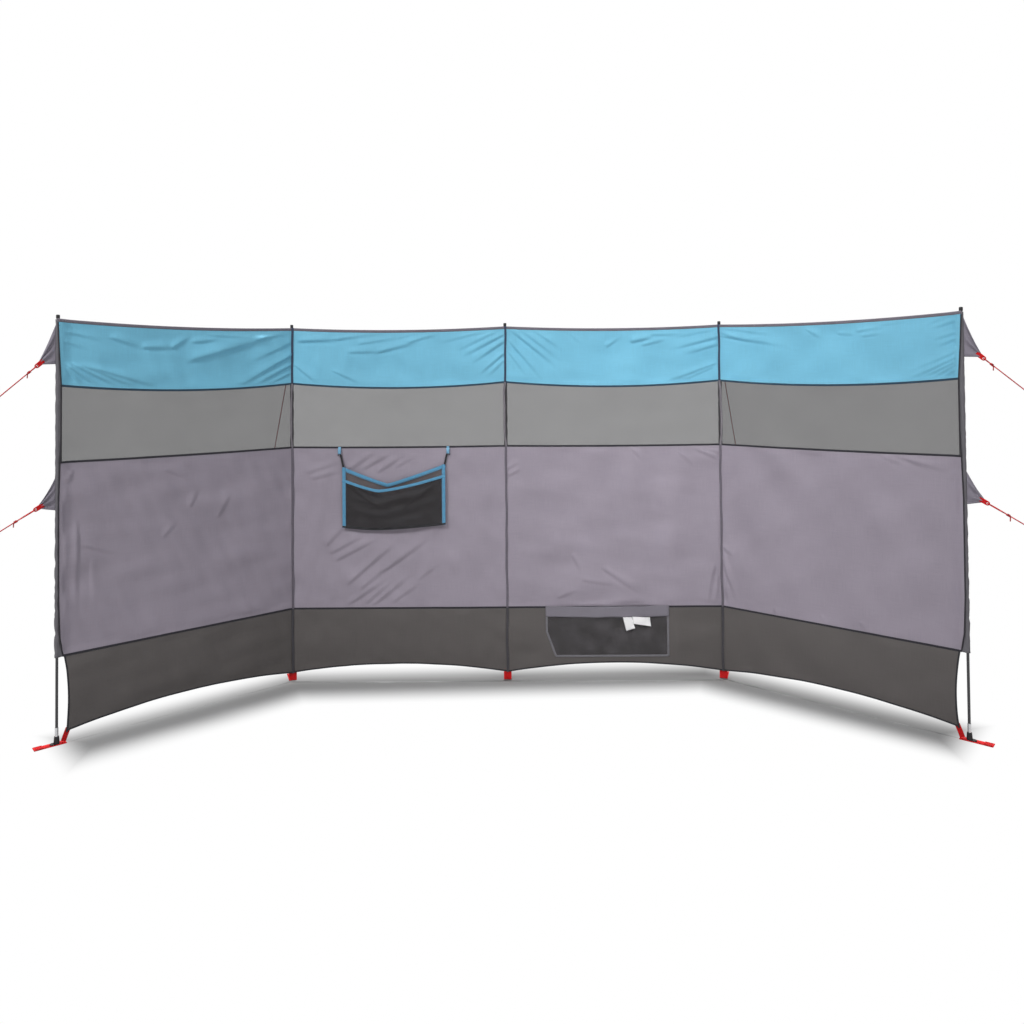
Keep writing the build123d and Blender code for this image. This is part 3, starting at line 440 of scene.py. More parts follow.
def cloth_relief(bay, along, height):
    """How far the cloth of a bay stands out from its plane."""
    folds = 0.0
    for start, start_height, end, end_height, rise, spread in FOLDS[bay.name]:
        run, climb = (end - start) / 1000, (end_height - start_height) / 1000
        length = math.hypot(run, climb)
        from_start, above = along - start / 1000, height - start_height / 1000
        share = (from_start * run + above * climb) / length**2
        width = spread / 1000 * (0.8 + 0.6 * np.clip(share, 0, 1))
        aside = (above * run - from_start * climb) / length / width * math.copysign(1, run)
        fade = ramp(share, -0.10, 0.12) * (1 - ramp(share, 0.45, 1.12))
        folds = folds + FOLD_GAIN * rise / 1000 * fade * fold_profile(aside)
    folds = folds + slack_waves(SLACK_SEED + bay.number, along, height)

    # seams and poles hold the cloth
    for edge, (kept, reach) in zip(CUT_EDGES, SEAM_HOLDS):
        gap = np.abs(height - edge_height(edge, bay, along))
        folds = folds * (kept + (1 - kept) * ramp(gap, SEAM_HOLD_START, reach))
    folds = folds * ramp(along - bay.start, 0.0, POLE_HOLD) * ramp(bay.end - along, 0.0, POLE_HOLD)

    # each band bellies a little between its seams
    middle = np.sin(math.pi * np.clip((along - bay.start) / (bay.end - bay.start), 0, 1))
    for upper, lower, belly in zip(CUT_EDGES, CUT_EDGES[1:], BELLIES):
        top, bottom = edge_height(upper, bay, along), edge_height(lower, bay, along)
        folds = folds + belly * middle * np.sin(math.pi * np.clip((top - height) / (top - bottom), 0, 1))

    # the cloth lies back behind the organiser, and flat behind the skirt's pocket
    if bay is LEFT_CENTRE:
        behind = within(along, ORGANISER_START, ORGANISER_END + 0.005, fade=0.03)
        behind = behind * within(height, ORGANISER_LOW, ORGANISER_HIGH, fade=0.03)
        folds = folds - behind * np.maximum(folds, 0)
    if bay is RIGHT_CENTRE:
        rest = SKIRT_POCKET_START - SKIRT_POCKET_REST, SKIRT_POCKET_END + SKIRT_POCKET_REST
        behind = within(along, *rest, fade=0.045)
        behind = behind * ramp(height, 0.06, 0.095) * ramp(-height, -0.33, -0.305)
        folds = folds * (1 - behind)

    # a wing's cloth rises over its end sleeve
    if bay in WINGS:
        lap = 1 - ramp(from_end(bay, along), *SLEEVE_LIFT_RUN)
        folds = folds + SLEEVE_LIFT * lap * ramp(height - LOWER_SEAM.height, *SLEEVE_LIFT_CLIMB)
    return folds


# Meshes
def linked(name, mesh, material):
    mesh.materials.clear()
    mesh.materials.append(material)
    made = bpy.data.objects.new(name, mesh)
    bpy.context.collection.objects.link(made)
    return made


def mesh_of(name, points, faces, uv):
    """A smooth mesh with one UV place per point."""
    mesh = bpy.data.meshes.new(name)
    mesh.from_pydata(points.reshape(-1, 3).tolist(), [], faces)
    corners = np.empty(len(mesh.loops), dtype=np.int32)
    mesh.loops.foreach_get("vertex_index", corners)
    layer = mesh.uv_layers.new(name="UVMap")
    layer.data.foreach_set("uv", uv.reshape(-1, 2)[corners].astype(np.float32).ravel())
    mesh.polygons.foreach_set("use_smooth", np.ones(len(mesh.polygons), dtype=bool))
    mesh.validate()
    return mesh


def grid_faces(rows, columns, first=0, turned=False, wrap=False):
    """Quads over rows from the top down, seen the right way round from the front."""
    faces = []
    for row in range(rows - 1):
        for column in range(columns if wrap else columns - 1):
            a = first + row * columns + column
            b = first + row * columns + (column + 1) % columns
            quad = (a, a + columns, b + columns, b)
            faces.append(quad[::-1] if turned else quad)
    return faces


def sheet_parts(places, uv, thickness):
    """Points, faces and UVs of a sheet: one layer, or two with a rim where it has a thickness."""
    rows, columns = places.shape[:2]
    if not thickness:
        return places.reshape(-1, 3), grid_faces(rows, columns), uv.reshape(-1, 2)
    normal = np.cross(np.gradient(places, axis=0), np.gradient(places, axis=1))
    normal /= np.linalg.norm(normal, axis=-1, keepdims=True)
    points = np.stack((places + normal * thickness / 2, places - normal * thickness / 2))
    back = rows * columns
    faces = grid_faces(rows, columns) + grid_faces(rows, columns, back, turned=True)
    rim = list(range(columns))
    rim += [row * columns + columns - 1 for row in range(1, rows)]
    rim += [(rows - 1) * columns + column for column in range(columns - 2, -1, -1)]
    rim += [row * columns for row in range(rows - 2, 0, -1)]
    for here, there in zip(rim, rim[1:] + rim[:1]):
        faces.append((here, there, there + back, here + back))
    return points.reshape(-1, 3), faces, np.stack((uv, uv)).reshape(-1, 2)


def shell_mesh(name, outer, inner, uv):
    """An open-ended tunnel of cloth between an outer and an inner ring of columns."""
    rows, columns = outer.shape[:2]
    inside = rows * columns
    faces = grid_faces(rows, columns, wrap=True) + grid_faces(rows, columns, inside, turned=True, wrap=True)
    for column in range(columns):
        following = (column + 1) % columns
        faces.append((column, following, following + inside, column + inside))
        low, low_following = inside - columns + column, inside - columns + following
        faces.append((low_following, low, low + inside, low_following + inside))
    return mesh_of(name, np.stack((outer, inner)), faces, np.stack((uv, uv)))


def tube_parts(path, radius, sides=8):
    """Points, faces and UVs of a round cord along a path, closed at both ends."""
    path = np.asarray(path, float)
    tangent = tangents(path)
    side = np.cross(tangent[0], (0.31, 0.2, 0.93))
    sides_at = []
    for direction in tangent:
        side = unit(side - direction * (side @ direction))
        sides_at.append(side)
    sides_at = np.array(sides_at)
    upward = np.cross(tangent, sides_at)
    turn = np.linspace(0, 2 * math.pi, sides, endpoint=False)
    ring = np.cos(turn)[None, :, None] * sides_at[:, None] + np.sin(turn)[None, :, None] * upward[:, None]
    points = path[:, None] + radius * ring
    uv = np.stack(np.broadcast_arrays(travelled(path)[:, None], (turn / (2 * math.pi))[None]), axis=-1)
    faces = grid_faces(len(path), sides, turned=True, wrap=True)
    last = (len(path) - 1) * sides
    faces += [tuple(range(sides))[::-1], tuple(range(last, last + sides))]
    return points.reshape(-1, 3), faces, uv.reshape(-1, 2)


def joined(name, parts, material):
    """One piece from several lots of points, faces and UVs."""
    points, faces, uvs, first = [], [], [], 0
    for some_points, some_faces, some_uvs in parts:
        points.append(some_points)
        uvs.append(some_uvs)
        faces += [tuple(first + corner for corner in face) for face in some_faces]
        first += len(some_points)
    mesh = mesh_of(name, np.concatenate(points), faces, np.concatenate(uvs))
    return linked(name, mesh, material)


# Node trees
class Wire:
    """A node's output. Arithmetic on it adds Math nodes."""

    def __init__(self, graph, socket):
        self.graph, self.socket = graph, socket

    def out(self, name):
        return Wire(self.graph, self.socket.node.outputs[name])

    def math(self, operation, *others):
        return self.graph.math(operation, self, *others)

    def __add__(self, other):
        return self.math("ADD", other)

    __radd__ = __add__

    def __sub__(self, other):
        return self.math("SUBTRACT", other)

    def __rsub__(self, other):
        return self.graph.math("SUBTRACT", other, self)

    def __mul__(self, other):
        return self.math("MULTIPLY", other)

    __rmul__ = __mul__

    def __gt__(self, other):
        return self.math("GREATER_THAN", other)


class Graph:
    """A node tree that is being built."""

    def __init__(self, tree):
        self.tree = tree

    def node(self, kind, settings=None, sockets=None, output=0):
        made = self.tree.nodes.new(kind)
        for name, value in (settings or {}).items():
            setattr(made, name, value)
        for name, value in (sockets or {}).items():
            self.join(value, made.inputs[name])
        return Wire(self, made.outputs[output]) if made.outputs else made

    def join(self, value, socket):
        if isinstance(value, Wire):
            self.tree.links.new(value.socket, socket)
        else:
            socket.default_value = value

    def math(self, operation, *values):
        return self.node("ShaderNodeMath", {"operation": operation}, dict(enumerate(values)))

    def blend(self, share, first, second):
        """A mix of two colours."""
        return self.node("ShaderNodeMix", {"data_type": "RGBA"}, {0: share, 6: first, 7: second}, output=2)

    def noise(self, place, scale, detail=3.0, output="Fac"):
        sockets = {"Vector": place, "Scale": scale, "Detail": detail}
        return self.node("ShaderNodeTexNoise", None, sockets, output)

    def streaks(self, place, stretch, detail=2.0):
        """Noise that is drawn out along one way."""
        drawn = self.node("ShaderNodeMapping", None, {"Vector": place, "Scale": stretch})
        return self.noise(drawn, 1.0, detail)

    def split(self, vector):
        return self.node("ShaderNodeSeparateXYZ", None, {"Vector": vector})

    def named(self, name, kind="FLOAT"):
        return self.node("GeometryNodeInputNamedAttribute", {"data_type": kind}, {"Name": name})


class Finish(Graph):
    """A material with its shader; constants sit on the shader's own sockets."""

    def __init__(self, name, constants):
        self.material = bpy.data.materials.new(name)
        self.material.use_nodes = True
        super().__init__(self.material.node_tree)
        self.shader = self.tree.nodes["Principled BSDF"]
        for socket, value in constants.items():
            self.shader.inputs[socket].default_value = value

    def uv(self):
        return self.node("ShaderNodeUVMap", {"uv_map": "UVMap"})

    def place(self):
        return self.node("ShaderNodeTexCoord", output="Object")

    def set(self, **wires):
        for name, wire in wires.items():
            self.join(wire, self.shader.inputs[name.replace("_", " ")])

    def shades(self, share, colour, dark, light):
        """A colour that varies between a darker and a lighter tone of it."""
        return self.blend(share, tone(colour, dark), tone(colour, light))

    def bump(self, height, strength, distance):
        sockets = {"Strength": strength, "Distance": distance, "Height": height}
        return self.node("ShaderNodeBump", None, sockets)


def tone(colour, share):
    """A colour made lighter or darker."""
    return tuple(min(channel * share, 1.0) for channel in colour[:3]) + (1.0,)


def linear(red, green, blue):
    """A colour given as it shows on screen, from 0 to 255."""
    return tuple((channel / 255) ** 2.2 for channel in (red, green, blue)) + (1.0,)


def woven_cloth(name, colour, thread=0.0013, roughness=0.62, sheen=0.12):
    """Plain-woven polyester: fine threads, slubs and a cloudy dye."""
    finish = Finish(name, {"Sheen Weight": sheen, "Sheen Roughness": 0.45, "Specular IOR Level": 0.28})
    uv = finish.uv()
    across = finish.split(uv)
    turns = 2 * math.pi / thread
    weave = (across * turns).math("SINE") * (across.out("Y") * turns).math("SINE")
    dye = finish.noise(uv, 5.0, 4.0)
    warp = finish.streaks(uv, (900.0, 14.0, 1.0))
    weft = finish.streaks(uv, (14.0, 900.0, 1.0))
    share = 0.5 + 0.16 * weave + 0.8 * (dye - 0.5) + 0.7 * (warp + weft - 1.0)
    finish.set(
        Base_Color=finish.shades(share, colour, 0.86, 1.14),
        Roughness=roughness + 0.1 * (dye - 0.5) - 0.05 * weave,
        Normal=finish.bump(weave + 1.2 * (warp + weft), 0.22, 0.0004),
    )
    return finish.material


def net_cloth(name, colour, mesh, thread_share, open_alpha, thread_alpha, cloud=6.0, contrast=0.3):
    """See-through net: threads both ways with open squares between them."""
    finish = Finish(name, {"Specular IOR Level": 0.2, "Sheen Weight": 0.1})
    uv = finish.uv()
    across = finish.split(uv)
    turns = 2 * math.pi / mesh
    warp = (across * turns).math("COSINE")
    weft = (across.out("Y") * turns).math("COSINE")
    level = math.cos(math.pi * thread_share)
    thread = (warp.math("MAXIMUM", weft) - level) * 2.5
    covered = thread.math("MAXIMUM", 0.0).math("MINIMUM", 1.0)
    dye = finish.noise(uv, cloud, 4.0)
    share = dye + 0.12 * (covered - 0.5)
    finish.set(
        Base_Color=finish.shades(share, colour, 1 - contrast, 1 + contrast),
        Roughness=0.62 + 0.16 * (dye - 0.5),
        Alpha=open_alpha + (thread_alpha - open_alpha) * covered + 0.06 * (dye - 0.5),
        Normal=finish.bump(warp.math("MAXIMUM", weft), 0.15, 0.0003),
    )
    return finish.material


def ribbed_tape(name, colour, rib, fleck=None, roughness=0.7, sheen=0.12):
    """Woven tape or webbing: ribs across its length, a ridged edge and small flecks."""
    finish = Finish(name, {"Sheen Weight": sheen, "Sheen Roughness": 0.5, "Specular IOR Level": 0.3})
    uv = finish.uv()
    along = finish.split(uv)
    ribs = (along * (2 * math.pi / rib)).math("SINE")
    yarns = (along.out("Y") * (2 * math.pi / (rib * 0.8))).math("SINE")
    worn = finish.noise(uv, 55.0, 4.0)
    share = 0.5 + 0.22 * ribs * yarns + 0.12 * ribs + 0.7 * (worn - 0.5)
    base = finish.shades(share, colour, 0.72, 1.25)
    if fleck:
        base = finish.blend(finish.noise(uv, 900.0, 1.0) > 0.66, base, fleck)
    finish.set(
        Base_Color=base,
        Roughness=roughness + 0.15 * (worn - 0.5),
        Normal=finish.bump(ribs + 0.6 * ribs * yarns, 0.45, rib * 0.18),
    )
    return finish.material


def braided_rope(name, colour, fleck):
    """Braided guy rope: crossing strands, with one dark strand among them."""
    finish = Finish(name, {"Sheen Weight": 0.1, "Specular IOR Level": 0.3})
    uv = finish.uv()
    along = finish.split(uv)
    lay, strands = along * (2 * math.pi / 0.0052), along.out("Y") * (2 * math.pi * 4)
    braid = (lay + strands).math("SINE") * (lay - strands).math("SINE")
    spiral = (along * (2 * math.pi / 0.021) + along.out("Y") * (2 * math.pi)).math("SINE")
    fuzz = finish.noise(finish.place(), 700.0, 2.0)
    strand = finish.shades(0.5 + 0.35 * braid + 0.5 * (fuzz - 0.5), colour, 0.6, 1.25)
    marked = (spiral > 0.86) * (braid > -0.2)
    finish.set(
        Base_Color=finish.blend(marked, strand, fleck),
        Roughness=0.66 + 0.2 * (fuzz - 0.5),
        Normal=finish.bump(braid + 0.4 * fuzz, 0.6, 0.0006),
    )
    return finish.material


def pulled_rod(name, colour):
    """Fibreglass rod: lengthwise streaks under a thin gloss."""
    finish = Finish(name, {"Specular IOR Level": 0.5, "Coat Roughness": 0.25})
    place = finish.place()
    streak = finish.streaks(place, (900.0, 900.0, 6.0), 3.0)
    wear = finish.noise(place, 45.0, 5.0)
    finish.set(
        Base_Color=finish.shades(streak + 0.4 * (wear - 0.5), colour, 0.7, 1.7),
        Roughness=0.34 + 0.25 * (wear - 0.4),
        Coat_Weight=0.35 + 0.3 * (streak - 0.5),
        Normal=finish.bump(streak, 0.12, 0.0004),
    )
    return finish.material


def moulded_plastic(name, colour):
    """Moulded nylon: fine grain, scuffed a little paler."""
    finish = Finish(name, {"Specular IOR Level": 0.4})
    place = finish.place()
    grain = finish.noise(place, 1400.0, 2.0)
    scuff = finish.noise(place, 120.0, 6.0)
    finish.set(
        Base_Color=finish.shades(scuff, colour, 0.7, 1.8),
        Roughness=0.45 + 0.3 * (scuff - 0.4),
        Normal=finish.bump(grain + scuff, 0.2, 0.0002),
    )
    return finish.material


def drawn_steel(name, colour):
    """Drawn steel: fine lines round the tube and a few duller marks."""
    finish = Finish(name, {"Metallic": 1.0})
    place = finish.place()
    lines = finish.streaks(place, (40.0, 40.0, 2600.0))
    marks = finish.noise(place, 160.0, 5.0)
    finish.set(
        Base_Color=finish.shades(marks, colour, 0.75, 1.1),
        Roughness=0.3 + 0.18 * (lines - 0.5) + 0.3 * (marks - 0.5),
        Normal=finish.bump(lines, 0.12, 0.0002),
    )
    return finish.material


def satin_label(name, colour):
    """Satin care tag, blank."""
    finish = Finish(name, {"Sheen Weight": 0.3, "Specular IOR Level": 0.35})
    uv = finish.uv()
    yarn = finish.streaks(uv, (60.0, 2600.0, 1.0))
    soft = finish.noise(uv, 60.0, 3.0)
    finish.set(
        Base_Color=finish.shades(yarn + 0.5 * (soft - 0.5), colour, 0.92, 1.02),
        Roughness=0.45 + 0.2 * (yarn - 0.5),
        Normal=finish.bump(yarn, 0.15, 0.0002),
    )
    return finish.material


def spun_thread(name, colour):
    """Sewing thread."""
    finish = Finish(name, {"Specular IOR Level": 0.3})
    place = finish.place()
    twist = finish.noise(place, 2500.0, 1.0)
    finish.set(
        Base_Color=finish.shades(twist, colour, 0.8, 1.2),
        Roughness=0.55 + 0.2 * (twist - 0.5),
    )
    return finish.material


blue_cloth = woven_cloth("blue_polyester", linear(119, 189, 218))
lilac_cloth = woven_cloth("lilac_grey_polyester", linear(152, 144, 156))
skirt_cloth = woven_cloth("charcoal_skirt_cloth", linear(95, 91, 90), roughness=0.7)
sleeve_cloth = woven_cloth("charcoal_sleeve_cloth", linear(64, 62, 65), roughness=0.7)
end_sleeve_cloth = woven_cloth("grey_sleeve_cloth", linear(106, 104, 109), roughness=0.7)
# painted shade: the gussets' lilac cloth, made darker in colour to stand for shade
painted_shade_gusset_cloth = woven_cloth("lilac_gusset_cloth_painted_darker", linear(130, 125, 136))
pocket_band_cloth = woven_cloth("slate_band_cloth", linear(126, 122, 131))
window_net = net_cloth("grey_window_net", linear(68, 67, 69), 0.0017, 0.30, 0.64, 0.97)
wing_net = net_cloth("dark_window_net", linear(67, 66, 67), 0.0017, 0.30, 0.72, 0.98)
pocket_net = net_cloth("charcoal_pocket_net", linear(51, 51, 53), 0.0024, 0.30, 0.45, 0.95, 14.0, 0.95)
skirt_net = net_cloth("grey_skirt_net", linear(83, 81, 84), 0.0024, 0.30, 0.35, 0.92, 12.0, 1.0)
back_net = net_cloth("brown_grey_pocket_net", linear(104, 97, 93), 0.0024, 0.30, 0.35, 0.90)
grey_tape = ribbed_tape("grey_binding", linear(114, 109, 119), 0.0016)
edge_tape = ribbed_tape("pale_grey_edging", linear(120, 118, 123), 0.0016)
dark_tape = ribbed_tape("charcoal_seam_tape", linear(46, 44, 49), 0.0014)
slate_tape = ribbed_tape("slate_blue_seam_tape", linear(46, 70, 88), 0.0014)
pole_tape = ribbed_tape("plum_grey_pole_tape", linear(110, 104, 114), 0.0014)
skirt_tape = ribbed_tape("smoke_grey_pole_tape", linear(74, 72, 76), 0.0014)
navy_tape = ribbed_tape("navy_pole_tape", linear(60, 70, 92), 0.0014)
lilac_tape = ribbed_tape("lilac_pole_tape", linear(124, 119, 125), 0.0014)
blue_tape = ribbed_tape("blue_binding", linear(90, 150, 187), 0.0014)
pale_tape = ribbed_tape("pale_blue_loop_tape", linear(122, 172, 204), 0.0014)
black_tape = ribbed_tape("black_binding", linear(44, 44, 47), 0.0014)
red_webbing = ribbed_tape("red_webbing", linear(204, 22, 26), 0.0022, sheen=0.0)
guy_rope = braided_rope("red_guy_rope", linear(205, 40, 42), linear(48, 30, 34))
fibreglass = pulled_rod("black_fibreglass", linear(34, 34, 37))
black_plastic = moulded_plastic("black_nylon", linear(24, 24, 26))
bright_steel = drawn_steel("bright_steel", linear(205, 206, 208))
white_label = satin_label("white_satin_label", linear(252, 251, 252))
grey_thread = spun_thread("grey_thread", linear(128, 125, 134))
dark_thread = spun_thread("charcoal_thread", linear(62, 64, 74))
red_thread = spun_thread("dark_red_thread", linear(120, 22, 26))


# Grown pieces: tapes that follow a line, and stitches along one
def node_tree(name, inputs):
    """A geometry tree with a line coming in and a piece going out."""
    tree = bpy.data.node_groups.new(name, "GeometryNodeTree")
    tree.interface.new_socket("Line", in_out="INPUT", socket_type="NodeSocketGeometry")
    for socket, kind in inputs.items():
        tree.interface.new_socket(socket, in_out="INPUT", socket_type=f"NodeSocket{kind}")
    tree.interface.new_socket("Piece", in_out="OUTPUT", socket_type="NodeSocketGeometry")
    graph = Graph(tree)
    return tree, graph, graph.node("NodeGroupInput")


def finished(graph, geometry, given):
    """Realises, gives the material and ends the tree."""
    real = graph.node("GeometryNodeRealizeInstances", None, {"Geometry": geometry})
    sockets = {"Geometry": real, "Material": given.out("Material")}
    painted = graph.node("GeometryNodeSetMaterial", None, sockets)
    graph.node("NodeGroupOutput", None, {"Piece": painted})


def faced_curve(graph, given):
    """The line as a curve whose normal is the side that the piece faces."""
    curve = graph.node("GeometryNodeMeshToCurve", None, {"Mesh": given})
    facing = graph.named("facing", "FLOAT_VECTOR")
    sockets = {"Curve": curve, "Normal": facing}
    return graph.node("GeometryNodeSetCurveNormal", {"mode": "FREE"}, sockets), facing


def sewn_tape_tree():
    """A flat tape with rounded edges, swept along a line."""
    inputs = {"Width": "Float", "Thickness": "Float", "Material": "Material"}
    tree, graph, given = node_tree("sewn_tape", inputs)
    curve, _ = faced_curve(graph, given)
    length = graph.node("GeometryNodeSplineParameter", output="Length")

    def measured(line, name):
        """Keeps the way travelled along a line as a named attribute."""
        settings = {"data_type": "FLOAT", "domain": "POINT"}
        sockets = {"Geometry": line, "Name": name, "Value": length}
        return graph.node("GeometryNodeStoreNamedAttribute", settings, sockets)

    outline = graph.node(
        "GeometryNodeCurvePrimitiveQuadrilateral",
        {"mode": "RECTANGLE"},
        {"Width": given.out("Thickness"), "Height": given.out("Width")},
    )
    outline = graph.node(
        "GeometryNodeFilletCurve",
        {"mode": "POLY"},
        {"Curve": outline, "Radius": given.out("Thickness") * 0.45, "Count": 2, "Limit Radius": True},
    )
    swept = graph.node(
        "GeometryNodeCurveToMesh",
        None,
        {"Curve": measured(curve, "along"), "Profile Curve": measured(outline, "round"), "Fill Caps": True},
    )
    flat = graph.node("ShaderNodeCombineXYZ", None, {"X": graph.named("along"), "Y": graph.named("round")})
    mapped = graph.node(
        "GeometryNodeStoreNamedAttribute",
        {"data_type": "FLOAT2", "domain": "CORNER"},
        {"Geometry": swept, "Name": "UVMap", "Value": flat},
    )
    sharp = graph.node("GeometryNodeInputMeshEdgeAngle") > 0.9
    shaded = graph.node(
        "GeometryNodeSetShadeSmooth",
        {"domain": "EDGE"},
        {"Geometry": mapped, "Selection": sharp, "Shade Smooth": False},
    )
    finished(graph, shaded, given)
    return tree


def stitch_row_tree():
    """A row of stitches along a line."""
    inputs = {"Spacing": "Float", "Length": "Float", "Thread": "Float", "Material": "Material"}
    tree, graph, given = node_tree("stitch_row", inputs)
    curve, facing = faced_curve(graph, given)
    sockets = {"Curve": curve, "Length": given.out("Spacing")}
    row = graph.node("GeometryNodeResampleCurve", {"mode": "LENGTH"}, sockets)
    size = graph.node(
        "ShaderNodeCombineXYZ",
        None,
        {"X": given.out("Length"), "Y": given.out("Thread"), "Z": given.out("Thread")},
    )
    stitch = graph.node("GeometryNodeMeshCube", None, {"Size": size})
    stitch = graph.node("GeometryNodeSetShadeSmooth", None, {"Geometry": stitch})
    tangent = graph.node("GeometryNodeInputTangent")
    laid = graph.node("FunctionNodeAlignRotationToVector", {"axis": "X"}, {"Vector": tangent})
    turned = graph.node(
        "FunctionNodeAlignRotationToVector",
        {"axis": "Z", "pivot_axis": "X"},
        {"Rotation": laid, "Vector": facing},
    )
    sockets = {"Points": row, "Instance": stitch, "Rotation": turned}
    finished(graph, graph.node("GeometryNodeInstanceOnPoints", None, sockets), given)
    return tree


SEWN_TAPE = sewn_tape_tree()
STITCH_ROW = stitch_row_tree()


def grown(name, tree, lines, **inputs):
    """The plain mesh that a tree grows from lines of places with the side that they face."""
    points = np.concatenate([np.asarray(places) for places, _ in lines])
    facings = np.concatenate([np.broadcast_to(facing, np.shape(places)) for places, facing in lines])
    edges, first = [], 0
    for places, _ in lines:
        edges += [(first + place, first + place + 1) for place in range(len(places) - 1)]
        first += len(places)
    mesh = bpy.data.meshes.new(name)
    mesh.from_pydata(points.tolist(), edges, [])
    side = mesh.attributes.new("facing", "FLOAT_VECTOR", "POINT")
    side.data.foreach_set("vector", facings.astype(np.float32).ravel())
    made = linked(name, mesh, inputs["Material"])
    modifier = made.modifiers.new("grow", "NODES")
    modifier.node_group = tree
    for socket in tree.interface.items_tree:
        if socket.in_out == "INPUT" and socket.name in inputs:
            modifier[socket.identifier] = inputs[socket.name]
    graph = bpy.context.evaluated_depsgraph_get()
    plain = bpy.data.meshes.new_from_object(
        made.evaluated_get(graph), preserve_all_data_layers=True, depsgraph=graph
    )
    made.modifiers.clear()
    made.data = plain
    return made


def tape(name, lines, width, thickness, material):
    return grown(name, SEWN_TAPE, lines, Width=width, Thickness=thickness, Material=material)


def stitches(
    name, lines, material, spacing=STITCH_SPACING, length=STITCH_LENGTH, thread=STITCH_THREAD
):
    return grown(name, STITCH_ROW, lines, Spacing=spacing, Length=length, Thread=thread, Material=material)


def dressed(piece, slot, *nodes):
    """A finished piece: it rides with the windbreak and stands for its solids."""
    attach(piece, "root")
    if nodes:
        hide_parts(*nodes)
    return piece


def flat_uv(along, height):
    return np.stack((along, height), axis=-1)


def cloth_piece(name, places, uv, thickness, material, slot, node):
    """A sheet of cloth that stands for one solid."""
    mesh = mesh_of(name, *sheet_parts(places, uv, thickness))
    return dressed(linked(name, mesh, material), slot, node)


# Cloth bands
Band = namedtuple("Band", "suffix top bottom pitch thickness material slot")
BANDS = (
    Band("top_band", HEM_FOOT, UPPER_SEAM, 0.0039, CLOTH_THICKNESS, blue_cloth, "blue_cloth"),
    Band("mesh_band", UPPER_SEAM, MIDDLE_SEAM, 0.011, 0.0, window_net, "window_mesh"),
    Band("main_panel", MIDDLE_SEAM, LOWER_SEAM, 0.0059, CLOTH_THICKNESS, lilac_cloth, "lilac_cloth"),
    Band("skirt", LOWER_SEAM, SKIRT_FOOT, 0.009, CLOTH_THICKNESS, skirt_cloth, "skirt_cloth"),
)


def free_edge(share):
    """How far in from the end pole a wing's skirt starts, from its top to its foot."""
    return (
        SKIRT_EDGE_TOP * (2 * share - 1) * (share - 1)
        + SKIRT_EDGE_WAIST * 4 * share * (1 - share)
        + SKIRT_EDGE_CORNER * share * (2 * share - 1)
    )


def band_places(bay, band):
    """Places of a band's cloth: along the bay, and height."""
    columns = round((bay.end - bay.start) / band.pitch)
    rows = round((band.top.height - band.bottom.height) / band.pitch)
    across, down = share_grid(columns, rows)
    start, end = np.full_like(down, bay.start), np.full_like(down, bay.end)
    if bay in WINGS:
        height = band.top.height + (band.bottom.height - band.top.height) * down
        edge = free_edge(down) if band.suffix == "skirt" else wing_start(height)
        if bay is LEFT_WING:
            start = edge
        else:
            end = BAY_WIDTH - edge
    along = start + (end - start) * across
    top = edge_height(band.top, bay, along) + UNDERLAP * (band.top is HEM_FOOT)
    bottom = edge_height(band.bottom, bay, along)
    return along, top + (bottom - top) * down


def cloth_band(bay, band):
    along, height = band_places(bay, band)
    places = bay.points(along, height, cloth_relief(bay, along, height))
    name = f"{bay.name}_{band.suffix}"
    material = wing_net if band.material is window_net and bay in WINGS else band.material
    uv = flat_uv(along, height)
    made = cloth_piece(f"{name}_cloth", places, uv, band.thickness, material, band.slot, name)
    sides = (f"{POLES[bay.number].name}_pole", f"{POLES[bay.number + 1].name}_pole")
    flat = (bay.end - bay.start, band.top.height - band.bottom.height)
    return made


for bay in BAYS:
    for band in BANDS:
        cloth_band(bay, band)


# Tapes and their stitches
def edge_line(bay, edge, lower=0.0, out=0.0, start=None, end=None, pitch=LINE_STEP):
    """A line on the cloth that keeps below an edge, standing out from it."""
    start = bay.start if start is None else start
    end = bay.end if end is None else end
    along = np.linspace(start, end, round((end - start) / pitch))
    height = edge_height(edge, bay, along) - lower
    relief = cloth_relief(bay, along, height)
    return bay.points(along, height, relief + out), bay.facing()


def free_edge_line(bay, inset=0.0, out=0.0):
    """A line down the free edge of a wing's skirt."""
    share = np.linspace(0, 1, 32)
    along = from_end(bay, free_edge(share) + inset)
    height = LOWER_SEAM.height + (SKIRT_FOOT.height - LOWER_SEAM.height) * share
    return bay.points(along, height, cloth_relief(bay, along, height) + out), bay.facing()


def wing_ends(bay, lap):
    """Where a line along a bay starts and ends: a wing's line so far from its end pole."""
    return {
        "start": lap if bay is LEFT_WING else None,
        "end": BAY_WIDTH - lap if bay is RIGHT_WING else None,
    }


